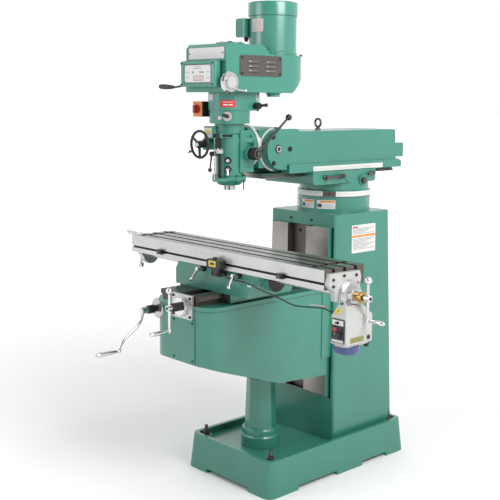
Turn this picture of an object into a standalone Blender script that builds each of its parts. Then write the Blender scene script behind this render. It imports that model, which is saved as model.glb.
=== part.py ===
"""Turret milling machine: a knee-type vertical mill, modelled as the separate pieces it comes apart into.

Frame, in metres: +Z up from the floor, +X to the operator's right, +Y to the back of the machine.
x = 0 is the machine's centre plane, and y = 0 is the front face of the column, over the middle of the base.
Every moving piece hangs from an empty that stands on its joint's axis.
"""

import math

import bmesh
import bpy
from mathutils import Matrix, Vector

for startup_object in list(bpy.data.objects):
    bpy.data.objects.remove(startup_object, do_unlink=True)

# ---------------------------------------------------------------- driving dimensions

GAP = 0.0003  # clearance between pieces that touch

# Base casting
BASE_HALF_WIDTH = 0.288
BASE_HALF_LENGTH = 0.480
BASE_HEIGHT = 0.170
BASE_DRAFT = 0.014
BASE_RIM = 0.022
TRAY_FLOOR = 0.140
DECK_UNDERSIDE = 0.120
BASE_WALL = 0.022

# Column
COLUMN_TOP = 1.234
COLUMN_HALF_TOP = 0.211
COLUMN_HALF_FOOT = 0.231
COLUMN_REAR_TOP = 0.392
COLUMN_REAR_FOOT = 0.435
COLUMN_WALL = 0.018
WAY_LOW = 0.360
WAY_HIGH = 1.174
WAY_INNER = 0.082
WAY_OUTER = 0.187
WAY_FRONT = -0.0155
WAY_BACK = 0.012
GROOVE_OUTER = 0.203
GROOVE_BACK = 0.030
NECK_TOP = 1.305
RING_TOP = 1.335

# Turret and ram
TURRET_Y = 0.220
TURRET_RADIUS = 0.178
SADDLE_HALF = 0.162
SADDLE_FRONT = -0.100
SADDLE_REAR = 0.340
RAM_HALF = 0.130
RAM_TOP = 1.622
RAM_REAR = 0.535
RAM_FLANGE_HALF = 0.140
RAM_FLANGE_LOW = 1.4345
RAM_FLANGE_HIGH = 1.473
DOVETAIL_LOW = 1.415
DOVETAIL_HALF_LOW = 0.110
DOVETAIL_HALF_HIGH = 0.095
DOVETAIL_FRONT = -0.357
DOVETAIL_REAR = 0.543
NOD_Y = -0.270
NOD_Z = 1.543
CHEEK_RADIUS = 0.0905
FORK_HALF = 0.0855
FORK_FLOOR = 1.4405

# Head
TILT_Z = 1.555
HEAD_FACE_Y = -0.385
TILT_RADIUS = 0.095
SPINDLE_Y = -0.468
SPINDLE_NOSE_Z = 1.367
SOCKET_RADIUS = 0.01207
SOCKET_DEPTH = 0.095
QUILL_LOW = 1.388
QUILL_RADIUS = 0.0425
BARREL_RADIUS = 0.062
PINION_Y = -0.421
PINION_Z = 1.529
PINION_RADIUS = 0.0155
HUB_FACE = 0.0955
HOUSING_TOP = 1.658
GEAR_HALF = 0.094
GEAR_STRETCH = 0.051
BACKGEAR_BOSS_FACE = 0.0955
GEAR_STEP_Z = 1.715
GEAR_TOP = 1.7917
CASE_HALF = 0.130
CASE_FRONT = -0.608
CASE_BOTTOM = 1.792
CASE_TOP = 1.994
CASE_MOTOR_TOP = 1.956
CASE_WALL = 0.008
MOTOR_Y = -0.211
MOTOR_RADIUS = 0.107
MOTOR_JOIN_Z = 2.130
MACHINE_TOP = 2.192
BELT_Z = 1.875

# Knee and screws
KNEE_HALF = 0.195
KNEE_FRONT = -0.755
KNEE_FRONT_FLAT = 0.111
KNEE_DECK = 0.895
KNEE_WAY_TOP = 0.937
KNEE_WAY_HALF = 0.134
KNEE_WAY_HALF_LOW = 0.120
KNEE_ROOF = 0.840
PEDESTAL_Y = -0.264
PEDESTAL_TOP = 0.470
ELEVATING_SCREW_RADIUS = 0.019
CROSS_X = 0.033
CROSS_Z = 0.887
KNEE_CRANK_X = -0.165
KNEE_CRANK_Z = 0.842
CRANK_BOSS_FACE = -0.727

# Saddle and table
SADDLE_TOP = 1.0465
TABLE_LEFT = -0.504
TABLE_RIGHT = 0.740
TABLE_FRONT = -0.640
TABLE_BACK = -0.411
TABLE_TOP = 1.125
TABLE_UNDERSIDE = 1.047
TABLE_WAY_TOP = 1.075
TABLE_WAY_HALF = 0.0625
TABLE_Y = (TABLE_FRONT + TABLE_BACK) / 2
SLOT_PITCH = 0.0635
SLOT_NECK = 0.016
SLOT_HEAD = 0.028
SLOT_NECK_DEPTH = 0.015
SLOT_DEPTH = 0.028
DOG_Z = 1.072
LEAD_Z = 1.020
LEAD_RADIUS = 0.0125
FEED_INNER = 0.7655
FEED_FACE = 0.845
FEED_LOW = 0.846

# Colours (linear), roughness and metallic value of each finish
GREEN = ((0.075, 0.300, 0.220), 0.35, 0.0)
GROUND_STEEL = ((0.560, 0.550, 0.530), 0.35, 0.9)
DARK_STEEL = ((0.180, 0.160, 0.150), 0.45, 0.8)
CHROME = ((0.800, 0.800, 0.800), 0.12, 1.0)
BLACK = ((0.015, 0.015, 0.016), 0.40, 0.0)
WHITE = ((0.780, 0.780, 0.760), 0.40, 0.0)
ORANGE = ((0.750, 0.200, 0.050), 0.45, 0.0)
RED = ((0.350, 0.015, 0.012), 0.35, 0.0)
BLUE = ((0.060, 0.080, 0.260), 0.45, 0.0)
PLATE_GREY = ((0.100, 0.090, 0.085), 0.50, 0.3)
RUBBER = ((0.020, 0.020, 0.020), 0.80, 0.0)
BRONZE = ((0.450, 0.270, 0.090), 0.35, 0.9)

# ---------------------------------------------------------------- moving bodies

# name: (parent body, point on the joint's axis)
BODIES = {
    "root": (None, (0, 0, 0)),
    "turret": ("root", (0, TURRET_Y, NECK_TOP)),
    "ram_lock_lever_front": ("turret", (SADDLE_HALF, -0.022, 1.409)),
    "ram_lock_lever_rear": ("turret", (SADDLE_HALF, 0.310, 1.416)),
    "ram_pinion_shaft": ("turret", (SADDLE_HALF, 0.237, 1.383)),
    "ram": ("turret", (0, TURRET_Y, 1.435)),
    "adapter": ("ram", (0, NOD_Y, NOD_Z)),
    "head": ("adapter", (0, HEAD_FACE_Y, TILT_Z)),
    "quill": ("head", (0, SPINDLE_Y, QUILL_LOW)),
    "spindle": ("quill", (0, SPINDLE_Y, SPINDLE_NOSE_Z)),
    "spindle_pulley": ("head", (0, SPINDLE_Y, BELT_Z)),
    "motor_pulley": ("head", (0, MOTOR_Y, BELT_Z)),
    "quill_feed_lever": ("head", (0, PINION_Y, PINION_Z)),
    "fine_feed_handwheel": ("head", (-0.052, -0.595, 1.568)),
    "feed_trip_lever": ("head", (0.010, -0.580, 1.529)),
    "quill_lock_lever": ("head", (0.0439, -0.5118, 1.462)),
    "quill_stop_nut": ("head", (0.038, -0.558, 1.540)),
    "speed_dial": ("head", (CASE_HALF, -0.589, 1.833)),
    "brake_lever": ("head", (-0.136, -0.600, 1.825)),
    "feed_selector_knob": ("head", (0.0613, -0.5345, 1.690)),
    "backgear_lever": ("head", (GEAR_HALF, -0.405, 1.735)),
    "switch_knob": ("head", (-0.121, -0.552, 1.7195)),
    "knee": ("root", (0, 0, 0.700)),
    "elevating_screw": ("knee", (0, PEDESTAL_Y, KNEE_ROOF)),
    "knee_crank": ("knee", (KNEE_CRANK_X, CRANK_BOSS_FACE, KNEE_CRANK_Z)),
    "cross_feed_screw": ("knee", (CROSS_X, -0.780, CROSS_Z)),
    "saddle": ("knee", (0, TABLE_Y, KNEE_WAY_TOP)),
    "table_lock_left": ("saddle", (0.006, -0.650, 1.032)),
    "table_lock_right": ("saddle", (0.237, -0.650, 1.032)),
    "table": ("saddle", (0, TABLE_Y, SADDLE_TOP)),
    "stop_dog_left": ("table", (-0.272, TABLE_FRONT, DOG_Z)),
    "stop_dog_right": ("table", (0.512, TABLE_FRONT, DOG_Z)),
    "lead_screw": ("table", (0, TABLE_Y, LEAD_Z)),
    "feed_knob": ("table", (0.806, -0.630, 0.885)),
}


def make_axes():
    """One empty per body, standing on its joint and parented to the body that carries it."""
    axes = {}
    for body, (parent, point) in BODIES.items():
        axis = bpy.data.objects.new(body + "_axis", None)
        bpy.context.collection.objects.link(axis)
        axis.empty_display_size = 0.05
        axis.location = point
        if parent:
            axis.parent = axes[parent]
            axis.location = Vector(point) - Vector(BODIES[parent][1])
        axes[body] = axis
    return axes


AXES = make_axes()


def new_material(name, finish):
    """A material of a node's own, with the colour, roughness and metallic value of a finish."""
    colour, roughness, metallic = finish
    material = bpy.data.materials.new(name + "_finish")
    material.use_nodes = True
    shader = material.node_tree.nodes["Principled BSDF"]
    shader.inputs["Base Color"].default_value = (*colour, 1.0)
    shader.inputs["Roughness"].default_value = roughness
    shader.inputs["Metallic"].default_value = metallic
    return material


def finish_node(name, body, shape, finish):
    """Name a finished shape, hang it from its body's axis and give it its own material."""
    shape.name = name
    shape.data.name = name
    shape.data.materials.clear()
    shape.data.materials.append(new_material(name, finish))
    shape.data.transform(Matrix.Translation(-Vector(BODIES[body][1])))
    shape.data.shade_smooth()
    shape.data.set_sharp_from_angle(angle=math.radians(32))
    shape.parent = AXES[body]
    return shape


# ---------------------------------------------------------------- shapes


def new_shape(bm):
    """Turn a bmesh into an object with its faces pointing out."""
    bmesh.ops.recalc_face_normals(bm, faces=bm.faces)
    mesh = bpy.data.meshes.new("shape")
    bm.to_mesh(mesh)
    bm.free()
    shape = bpy.data.objects.new("shape", mesh)
    bpy.context.collection.objects.link(shape)
    return shape


def on_plane(axis, level, u, v):
    """The point (u, v) of the plane at level along axis: (y, z) for X, (x, z) for Y, (x, y) for Z."""
    if axis == "X":
        return Vector((level, u, v))
    if axis == "Y":
        return Vector((u, level, v))
    return Vector((u, v, level))


def skin(rings, closed=False):
    """A closed body over rings of equal point count, capped at both ends unless it closes on itself."""
    bm = bmesh.new()
    loops = [[bm.verts.new(point) for point in ring] for ring in rings]
    pairs = list(zip(loops, loops[1:]))
    if closed:
        pairs.append((loops[-1], loops[0]))
    else:
        bm.faces.new(loops[0])
        bm.faces.new(loops[-1])
    for lower, upper in pairs:
        for index in range(len(lower)):
            following = (index + 1) % len(lower)
            bm.faces.new((lower[index], lower[following], upper[following], upper[index]))
    return new_shape(bm)


def loft(axis, sections):
    """A body through flat outlines: sections holds (level along axis, outline)."""
    return skin([[on_plane(axis, level, u, v) for u, v in outline] for level, outline in sections])


def prism(axis, outline, low, high):
    return loft(axis, [(low, outline), (high, outline)])


def box(x_low, x_high, y_low, y_high, z_low, z_high):
    outline = [(x_low, y_low), (x_high, y_low), (x_high, y_high), (x_low, y_high)]
    return prism("Z", outline, z_low, z_high)


def arc(centre, radius, start, end, steps):
    """Points on an arc, angles in degrees, both ends included."""
    points = []
    for step in range(steps + 1):
        angle = math.radians(start + (end - start) * step / steps)
        points.append((centre[0] + radius * math.cos(angle), centre[1] + radius * math.sin(angle)))
    return points


def circle(centre, radius, segments):
    return arc(centre, radius, 0, 360 - 360 / segments, segments - 1)


def rounded(u_low, u_high, v_low, v_high, radius, steps=4):
    """A rectangle with round corners."""
    corners = [
        (u_high - radius, v_low + radius, 270),
        (u_high - radius, v_high - radius, 0),
        (u_low + radius, v_high - radius, 90),
        (u_low + radius, v_low + radius, 180),
    ]
    outline = []
    for u, v, start in corners:
        outline += arc((u, v), radius, start, start + 90, steps)
    return outline


def turned(axis, centre, profile, segments=32):
    """A turned body: profile holds (place along axis, radius)."""
    return loft(axis, [(along, circle(centre, radius, segments)) for along, radius in profile])


def disc(axis, centre, radius, low, high, segments=32):
    return turned(axis, centre, [(low, radius), (high, radius)], segments)


def swept(path, radii, sides=8):
    """A round bar along a path, with a radius at each point."""
    points = [Vector(point) for point in path]
    rings = []
    across = None
    for index, point in enumerate(points):
        ahead = points[min(index + 1, len(points) - 1)]
        behind = points[max(index - 1, 0)]
        along = (ahead - behind).normalized()
        if across is None:
            across = along.orthogonal().normalized()
        across = (across - along * across.dot(along)).normalized()
        other = along.cross(across)
        ring = []
        for side in range(sides):
            angle = 2 * math.pi * side / sides
            ring.append(point + radii[index] * (math.cos(angle) * across + math.sin(angle) * other))
        rings.append(ring)
    return skin(rings)


def bar(start, end, radius, sides=8):
    return swept([start, end], [radius, radius], sides)


def torus(centre, normal, ring_radius, tube_radius, segments=24, sides=6):
    """A ring around centre, square to normal."""
    normal = Vector(normal).normalized()
    first = normal.orthogonal().normalized()
    second = normal.cross(first)
    rings = []
    for segment in range(segments):
        turn = 2 * math.pi * segment / segments
        outward = math.cos(turn) * first + math.sin(turn) * second
        ring = []
        for side in range(sides):
            roll = 2 * math.pi * side / sides
            offset = outward * (ring_radius + tube_radius * math.cos(roll))
            ring.append(Vector(centre) + offset + normal * tube_radius * math.sin(roll))
        rings.append(ring)
    return skin(rings, closed=True)


def ball(centre, radius):
    bm = bmesh.new()
    place = Matrix.Translation(centre)
    bmesh.ops.create_uvsphere(bm, u_segments=10, v_segments=6, radius=radius, matrix=place)
    return new_shape(bm)


def combine(target, tools, operation):
    """Apply one Boolean per tool, bake the result into the target's mesh and remove the tools."""
    for tool in tools:
        modifier = target.modifiers.new(operation.lower(), "BOOLEAN")
        modifier.operation = operation
        modifier.solver = "EXACT"
        modifier.object = tool
    graph = bpy.context.evaluated_depsgraph_get()
    baked = bpy.data.meshes.new_from_object(target.evaluated_get(graph))
    target.modifiers.clear()
    target.data = baked
    for tool in tools:
        bpy.data.objects.remove(tool, do_unlink=True)
    return target


def fuse(target, *tools):
    return combine(target, tools, "UNION")


def cut(target, *tools):
    return combine(target, tools, "DIFFERENCE")


def common(target, *tools):
    return combine(target, tools, "INTERSECT")


def mirrored_boxes(x_inner, x_outer, y_low, y_high, z_low, z_high):
    """The same box on both sides of the centre plane."""
    return [
        box(-x_outer, -x_inner, y_low, y_high, z_low, z_high),
        box(x_inner, x_outer, y_low, y_high, z_low, z_high),
    ]


def dovetail(half_low, half_high, z_low, z_high, grow=0.0):
    """Section of a dovetail as (x, z), wider at one end, grown sideways by a clearance."""
    return [
        (-half_low - grow, z_low),
        (half_low + grow, z_low),
        (half_high + grow, z_high),
        (-half_high - grow, z_high),
    ]


# ---------------------------------------------------------------- base, column and pedestal


def make_base():
    foot = rounded(-BASE_HALF_WIDTH, BASE_HALF_WIDTH, -BASE_HALF_LENGTH, BASE_HALF_LENGTH, 0.035)
    half_width = BASE_HALF_WIDTH - BASE_DRAFT
    half_length = BASE_HALF_LENGTH - BASE_DRAFT
    top = rounded(-half_width, half_width, -half_length, half_length, 0.035)
    body = loft("Z", [(0, foot), (BASE_HEIGHT, top)])
    tray = rounded(
        -half_width + BASE_RIM, half_width - BASE_RIM, -half_length + BASE_RIM, half_length - BASE_RIM, 0.02
    )
    inner_half = half_width - BASE_WALL + 0.006
    rib_front, rib_rear = -0.030, 0.100
    front_foot, rear_foot = -0.291, 0.335
    middle_front, middle_rear = rib_front, 0.154
    front_end = -half_length + BASE_WALL
    notch_height = 0.020
    side = 0.30
    cutters = [
        prism("Z", tray, TRAY_FLOOR, BASE_HEIGHT + 0.01),
        box(-inner_half, inner_half, front_end, rib_front, -0.01, DECK_UNDERSIDE),
        box(-inner_half, inner_half, rib_rear, -front_end, -0.01, DECK_UNDERSIDE),
        box(-0.145, 0.145, -0.50, front_end + 0.01, -0.01, notch_height),
        box(-0.145, 0.145, -front_end - 0.01, 0.50, -0.01, notch_height),
        disc("Z", (0, PEDESTAL_Y), 0.030, DECK_UNDERSIDE - 0.02, TRAY_FLOOR + 0.02, 24),
    ]
    cutters += mirrored_boxes(inner_half - 0.01, side, front_foot, middle_front, -0.01, notch_height)
    cutters += mirrored_boxes(inner_half - 0.01, side, middle_rear, rear_foot, -0.01, notch_height)
    finish_node("base", "root", cut(body, *cutters), GREEN)


def column_outline(half, rear):
    return rounded(-half, half, 0, rear, 0.012, 3)


def make_column():
    foot_z = TRAY_FLOOR + GAP
    body = loft(
        "Z",
        [
            (foot_z, column_outline(COLUMN_HALF_FOOT, COLUMN_REAR_FOOT)),
            (COLUMN_TOP, column_outline(COLUMN_HALF_TOP, COLUMN_REAR_TOP)),
        ],
    )
    neck = disc("Z", (0, TURRET_Y), TURRET_RADIUS, COLUMN_TOP - 0.02, NECK_TOP, 40)
    rails = mirrored_boxes(WAY_INNER, WAY_OUTER + 0.002, WAY_FRONT, 0.02, WAY_LOW, WAY_HIGH)
    fuse(body, neck, *rails)
    hollow_front = 0.050
    hollow = loft(
        "Z",
        [
            (foot_z - 0.02, [(-0.212, hollow_front), (0.212, hollow_front), (0.212, 0.417), (-0.212, 0.417)]),
            (1.200, [(-0.192, hollow_front), (0.192, hollow_front), (0.192, 0.374), (-0.192, 0.374)]),
        ],
    )
    groove_low = WAY_LOW - 0.010
    undercut = WAY_OUTER - 0.015
    recess = box(-WAY_INNER, WAY_INNER, -0.03, 0.020, WAY_LOW, WAY_HIGH)
    grooves = mirrored_boxes(WAY_OUTER, GROOVE_OUTER, -0.03, GROOVE_BACK, groove_low, WAY_HIGH)
    grooves += mirrored_boxes(undercut, GROOVE_OUTER - 0.002, WAY_BACK, GROOVE_BACK, groove_low, WAY_HIGH)
    finish_node("column", "root", cut(body, hollow, recess, *grooves), GREEN)


def make_pedestal():
    centre = (0, PEDESTAL_Y)
    ring = [(TRAY_FLOOR + GAP, 0.093), (0.190, 0.093), (0.198, 0.088), (0.222, 0.087), (0.231, 0.080)]
    foot = turned("Z", centre, ring, 32)
    body = loft("Z", [(0.225, circle(centre, 0.0755, 8)), (PEDESTAL_TOP, circle(centre, 0.0670, 8))])
    fuse(foot, body)
    bore = disc("Z", centre, 0.030, 0.10, PEDESTAL_TOP + 0.01, 24)
    finish_node("screw_pedestal", "root", cut(foot, bore), GREEN)
    nut_low = PEDESTAL_TOP + GAP
    nut_profile = [(nut_low, 0.050), (nut_low + 0.012, 0.050), (nut_low + 0.014, 0.040), (0.505, 0.040)]
    nut = turned("Z", centre, nut_profile)
    bore = disc("Z", centre, ELEVATING_SCREW_RADIUS + GAP, nut_low - 0.01, 0.52, 24)
    finish_node("elevating_nut", "root", cut(nut, bore), BRONZE)


# ---------------------------------------------------------------- turret


def make_turret():
    centre = (0, TURRET_Y)
    low = NECK_TOP + GAP
    top = RAM_FLANGE_LOW - GAP
    ring_profile = [(low, TURRET_RADIUS), (RING_TOP, TURRET_RADIUS)]
    ring_profile += [(RING_TOP + 0.004, 0.171), (1.392, 0.166)]
    ring = turned("Z", centre, ring_profile, 40)
    block = prism(
        "X",
        [
            (SADDLE_FRONT, top),
            (SADDLE_FRONT, 1.386),
            (SADDLE_FRONT + 0.012, 1.376),
            (0.050, 1.376),
            (0.330, 1.376),
            (SADDLE_REAR, 1.386),
            (SADDLE_REAR, top),
        ],
        -SADDLE_HALF,
        SADDLE_HALF,
    )
    boss = disc("X", (0.237, 1.383), 0.026, 0.10, 0.1715, 24)
    fuse(ring, block, boss)
    slot_low = DOVETAIL_LOW - GAP
    slope = (DOVETAIL_HALF_LOW - DOVETAIL_HALF_HIGH) / (1.436 - DOVETAIL_LOW)
    slot_high = 1.450
    half_high = DOVETAIL_HALF_LOW - slope * (slot_high - DOVETAIL_LOW)
    half_low = DOVETAIL_HALF_LOW + slope * GAP
    slot = prism("Y", dovetail(half_low, half_high, slot_low, slot_high, GAP), -0.15, 0.40)
    pinion_bore = disc("X", (0.237, 1.383), 0.0083, 0.09, 0.20, 16)
    front_bore = disc("X", (-0.022, 1.409), 0.0063, 0.135, 0.20, 12)
    rear_bore = disc("X", (0.310, 1.416), 0.0063, 0.135, 0.20, 12)
    scallop = disc("X", (0.100, 1.352), 0.050, 0.158, 0.20, 24)
    cut(ring, slot, pinion_bore, front_bore, rear_bore, scallop)
    finish_node("turret", "turret", ring, GREEN)


def make_ram_locks():
    face = SADDLE_HALF + GAP
    stud = disc("X", (-0.022, 1.409), 0.006, 0.137, face + 0.004, 12)
    hub = disc("X", (-0.022, 1.409), 0.0105, face, face + 0.022, 16)
    arm_path = [(0.176, -0.022, 1.409), (0.182, 0.035, 1.411), (0.182, 0.060, 1.411)]
    arm = swept(arm_path, [0.0055, 0.0055, 0.007])
    grip_path = [(0.182, 0.055, 1.411), (0.182, 0.080, 1.411), (0.182, 0.096, 1.411)]
    grip = swept(grip_path, [0.0085, 0.0115, 0.0085], 12)
    finish_node("ram_lock_lever_front", "ram_lock_lever_front", fuse(stud, hub, arm, grip), DARK_STEEL)
    stud = disc("X", (0.310, 1.416), 0.006, 0.137, face + 0.004, 12)
    hub = disc("X", (0.310, 1.416), 0.009, face, face + 0.020, 16)
    arm = swept([(0.176, 0.310, 1.416), (0.180, 0.285, 1.412), (0.180, 0.270, 1.412)], [0.005, 0.005, 0.006])
    finish_node("ram_lock_lever_rear", "ram_lock_lever_rear", fuse(stud, hub, arm), DARK_STEEL)
    face = 0.1715 + GAP
    shaft = disc("X", (0.237, 1.383), 0.008, 0.10, face + 0.004, 16)
    hexagon = prism("X", circle((0.237, 1.383), 0.015, 6), face, face + 0.014)
    finish_node("ram_pinion_shaft", "ram_pinion_shaft", fuse(shaft, hexagon), DARK_STEEL)


# ---------------------------------------------------------------- ram and adapter


def make_ram():
    cheek_top = 1.634
    cheek_low = NOD_Z - CHEEK_RADIUS
    outline = [(-0.236, cheek_low), (-0.236, RAM_FLANGE_HIGH), (RAM_REAR, RAM_FLANGE_HIGH)]
    outline += [(0.524, 1.616), (0.516, RAM_TOP), (-0.158, RAM_TOP), (-0.176, cheek_top)]
    outline += arc((NOD_Y, NOD_Z), CHEEK_RADIUS, 90, 270, 14)
    body = prism("X", outline, -RAM_HALF, RAM_HALF)
    flange_side = [(-0.232, RAM_FLANGE_LOW), (0.567, RAM_FLANGE_LOW), (0.567, 1.464)]
    flange_side += [(0.544, 1.4745), (-0.232, 1.4745)]
    flange = prism("X", flange_side, -RAM_FLANGE_HALF, RAM_FLANGE_HALF)
    way_section = dovetail(DOVETAIL_HALF_LOW, DOVETAIL_HALF_HIGH, DOVETAIL_LOW, 1.436)
    way = prism("Y", way_section, DOVETAIL_FRONT, DOVETAIL_REAR)
    boss = box(-0.100, 0.100, 0.480, 0.630, 1.482, 1.551)
    fuse(body, flange, way, boss)
    fork = box(-FORK_HALF, FORK_HALF, -0.40, -0.155, FORK_FLOOR, 1.70)
    hollow = box(-0.112, 0.112, -0.170, 0.490, 1.488, 1.606)
    finish_node("ram", "ram", cut(body, fork, hollow), GREEN)
    eye_y = 0.097
    eye = torus((0, eye_y, 1.6555), (0, 1, 0), 0.0185, 0.0055, 18, 6)
    stem_profile = [(RAM_TOP + GAP, 0.013), (1.628, 0.013), (1.634, 0.007), (1.640, 0.006)]
    stem = turned("Z", (0, eye_y), stem_profile, 16)
    finish_node("lifting_eye", "ram", fuse(eye, stem), DARK_STEEL)


def make_adapter():
    knuckle = disc("X", (NOD_Y, NOD_Z), 0.100, -0.085, 0.085, 36)
    block = box(-0.085, 0.085, -0.370, NOD_Y, 1.462, 1.630)
    flange = disc("Y", (0, TILT_Z), TILT_RADIUS, HEAD_FACE_Y, -0.3630, 32)
    finish_node("ram_adapter", "adapter", fuse(knuckle, block, flange), GREEN)


# ---------------------------------------------------------------- head


def make_quill_housing():
    centre = (0, SPINDLE_Y)
    profile = [(1.3890, 0.0465), (1.393, 0.052), (1.411, 0.069), (1.416, 0.0715)]
    profile += [(1.4255, 0.0715), (1.431, BARREL_RADIUS)]
    profile += [(1.612, BARREL_RADIUS), (1.617, 0.067), (HOUSING_TOP, 0.067)]
    body = turned("Z", centre, profile, 28)
    face = HEAD_FACE_Y - GAP
    rear = box(-0.072, 0.072, SPINDLE_Y, face - 0.005, 1.447, 1.630)
    flange = disc("Y", (0, TILT_Z), TILT_RADIUS, -0.408, face, 32)
    rib = [(-0.088, -0.404), (0.088, -0.404), (0.060, -0.480), (-0.060, -0.480)]
    upper_rib = prism("Z", rib, 1.577, 1.598)
    lower_rib = prism("Z", rib, 1.447, 1.466)
    hub_boss = disc("X", (PINION_Y, PINION_Z), 0.0325, 0.0, HUB_FACE, 24)
    feed_boss = disc("Y", (-0.052, 1.568), 0.026, -0.565, -0.480, 24)
    feed_box = prism("Z", rounded(-0.078, -0.006, -0.556, -0.470, 0.012, 3), 1.592, 1.646)
    upper_lug = prism("Z", rounded(0.020, 0.056, -0.574, -0.500, 0.012, 3), 1.5985, 1.6165)
    lower_lug = prism("Z", rounded(0.020, 0.056, -0.576, -0.500, 0.012, 3), 1.4105, 1.4245)
    trip_boss = disc("Y", (0.010, 1.529), 0.011, -0.570, -0.500, 16)
    fuse(body, rear, flange, upper_rib, lower_rib, hub_boss)
    fuse(body, feed_boss, feed_box, upper_lug, lower_lug, trip_boss)
    bore = disc("Z", centre, QUILL_RADIUS + GAP, 1.37, HOUSING_TOP + 0.01, 28)
    pinion_bore = disc("X", (PINION_Y, PINION_Z), PINION_RADIUS + 0.002, -0.022, HUB_FACE + 0.01, 20)
    wheel_bore = disc("Y", (-0.052, 1.568), 0.0073, -0.58, -0.520, 12)
    cut(body, bore, pinion_bore, wheel_bore)
    finish_node("quill_housing", "head", body, GREEN)


def gear_plan(grow):
    """Plan outline of the upper gear housing as (x, y): two half circles joined by straight sides."""
    radius = GEAR_HALF + grow
    front = arc((0, SPINDLE_Y), radius, 180, 360, 18)
    return front + arc((0, SPINDLE_Y + GEAR_STRETCH), radius, 0, 180, 18)


def make_gear_housing():
    centre = (0, SPINDLE_Y)
    low = HOUSING_TOP + GAP
    lower = disc("Z", centre, 0.090, low, GEAR_STEP_Z + 0.005, 36)
    upper = prism("Z", gear_plan(0), GEAR_STEP_Z, GEAR_TOP)
    backgear_boss = disc("X", (-0.405, 1.735), 0.016, 0.0, BACKGEAR_BOSS_FACE, 20)
    fuse(lower, upper, backgear_boss)
    bore = disc("Z", centre, 0.030, 1.64, 1.76, 24)
    chamber = disc("Z", centre, 0.080, 1.732, GEAR_TOP + 0.01, 32)
    finish_node("gear_housing", "head", cut(lower, bore, chamber), GREEN)


def case_side(inset):
    """Side outline of the belt case as (y, z), drawn in from its outer face by inset."""
    return [
        (CASE_FRONT + inset, CASE_BOTTOM + inset),
        (CASE_FRONT + 0.008 + inset, CASE_TOP - 0.012 - inset),
        (CASE_FRONT + 0.018 + inset, CASE_TOP - inset),
        (-0.396 - inset, CASE_TOP - inset),
        (-0.384 - inset, CASE_TOP - 0.004 - inset),
        (-0.350 - inset, CASE_MOTOR_TOP - inset),
        (-0.081 - inset, CASE_MOTOR_TOP - inset),
        (-0.081 - inset, 1.896 + inset / 2),
        (-0.209 - inset / 2, CASE_BOTTOM + inset),
    ]


def case_plan(inset):
    """Plan outline of the belt case as (x, y): square at the front, round behind the motor."""
    half = CASE_HALF - inset
    front = CASE_FRONT + inset
    return [(-half, front), (half, front)] + arc((0, MOTOR_Y), half, 0, 180, 20)


def make_belt_case():
    body = common(
        prism("X", case_side(0), -CASE_HALF - 0.01, CASE_HALF + 0.01),
        prism("Z", case_plan(0), CASE_BOTTOM - 0.01, CASE_TOP + 0.01),
    )
    hollow = common(
        prism("X", case_side(CASE_WALL), -CASE_HALF - 0.01, CASE_HALF + 0.01),
        prism("Z", case_plan(CASE_WALL), CASE_BOTTOM - 0.01, CASE_TOP + 0.01),
    )
    spindle_hole = disc("Z", (0, SPINDLE_Y), 0.032, CASE_BOTTOM - 0.02, CASE_BOTTOM + 0.03, 24)
    motor_hole = disc("Z", (0, MOTOR_Y), 0.030, CASE_MOTOR_TOP - 0.03, CASE_MOTOR_TOP + 0.02, 24)
    cut(body, hollow, spindle_hole, motor_hole)
    lid = turned("Z", (0, SPINDLE_Y), [(CASE_TOP - 0.004, 0.0625), (2.002, 0.0625), (2.005, 0.059)], 36)
    finish_node("belt_housing", "head", fuse(body, lid), GREEN)
    louvre = prism("X", rounded(-0.527, -0.281, 1.861, 1.948, 0.009, 3), CASE_HALF + GAP, CASE_HALF + 0.0035)
    finish_node("louvre_plate", "head", louvre, PLATE_GREY)
    panel = prism("Z", rounded(-0.119, 0.107, -0.650, CASE_FRONT - GAP, 0.012, 3), 1.814, 1.922)
    window = prism("Y", rounded(-0.092, 0.086, 1.829, 1.908, 0.008, 3), -0.66, -0.6465)
    finish_node("speed_panel", "head", cut(panel, window), GREEN)


def make_motor():
    centre = (0, MOTOR_Y)
    low = CASE_MOTOR_TOP + GAP
    profile = [(low, 0.110), (low + 0.016, 0.110), (low + 0.018, MOTOR_RADIUS), (MOTOR_JOIN_Z, MOTOR_RADIUS)]
    body = turned("Z", centre, profile, 40)
    bore = disc("Z", centre, 0.0125, low - 0.01, low + 0.03, 16)
    finish_node("motor", "head", cut(body, bore), GREEN)
    join = MOTOR_JOIN_Z + GAP
    cowl_profile = [(join, 0.111), (MACHINE_TOP - 0.012, 0.111)]
    cowl_profile += [(MACHINE_TOP - 0.004, 0.107), (MACHINE_TOP, 0.099)]
    cowl = turned("Z", centre, cowl_profile, 40)
    finish_node("motor_cowl", "head", cowl, GREEN)
    junction = prism("Z", rounded(-0.118, -0.062, -0.328, -0.262, 0.008, 3), 2.039, 2.121)
    clearance = disc("Z", centre, MOTOR_RADIUS + GAP, 2.02, 2.15, 40)
    finish_node("junction_box", "head", cut(junction, clearance), GREEN)


def groove_wheel(centre, radius, groove_radius, low, high, bore_radius):
    """A belt pulley with a groove at the belt's height."""
    half = 0.010
    profile = [
        (low, radius),
        (BELT_Z - half, radius),
        (BELT_Z - half, groove_radius),
        (BELT_Z + half, groove_radius),
        (BELT_Z + half, radius),
        (high, radius),
    ]
    wheel = turned("Z", centre, profile, 36)
    if bore_radius:
        cut(wheel, disc("Z", centre, bore_radius, low - 0.01, high + 0.01, 24))
    return wheel


def belt_outline(grow):
    """Outline round both pulley grooves, grown outward: two arcs joined by straight runs."""
    span = MOTOR_Y - SPINDLE_Y
    lean = math.degrees(math.asin((0.060 - 0.038) / span))
    front = arc((0, SPINDLE_Y), 0.060 + grow, 180 - lean, 360 + lean, 18)
    rear = arc((0, MOTOR_Y), 0.038 + grow, lean, 180 - lean, 18)
    return front + rear


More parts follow.
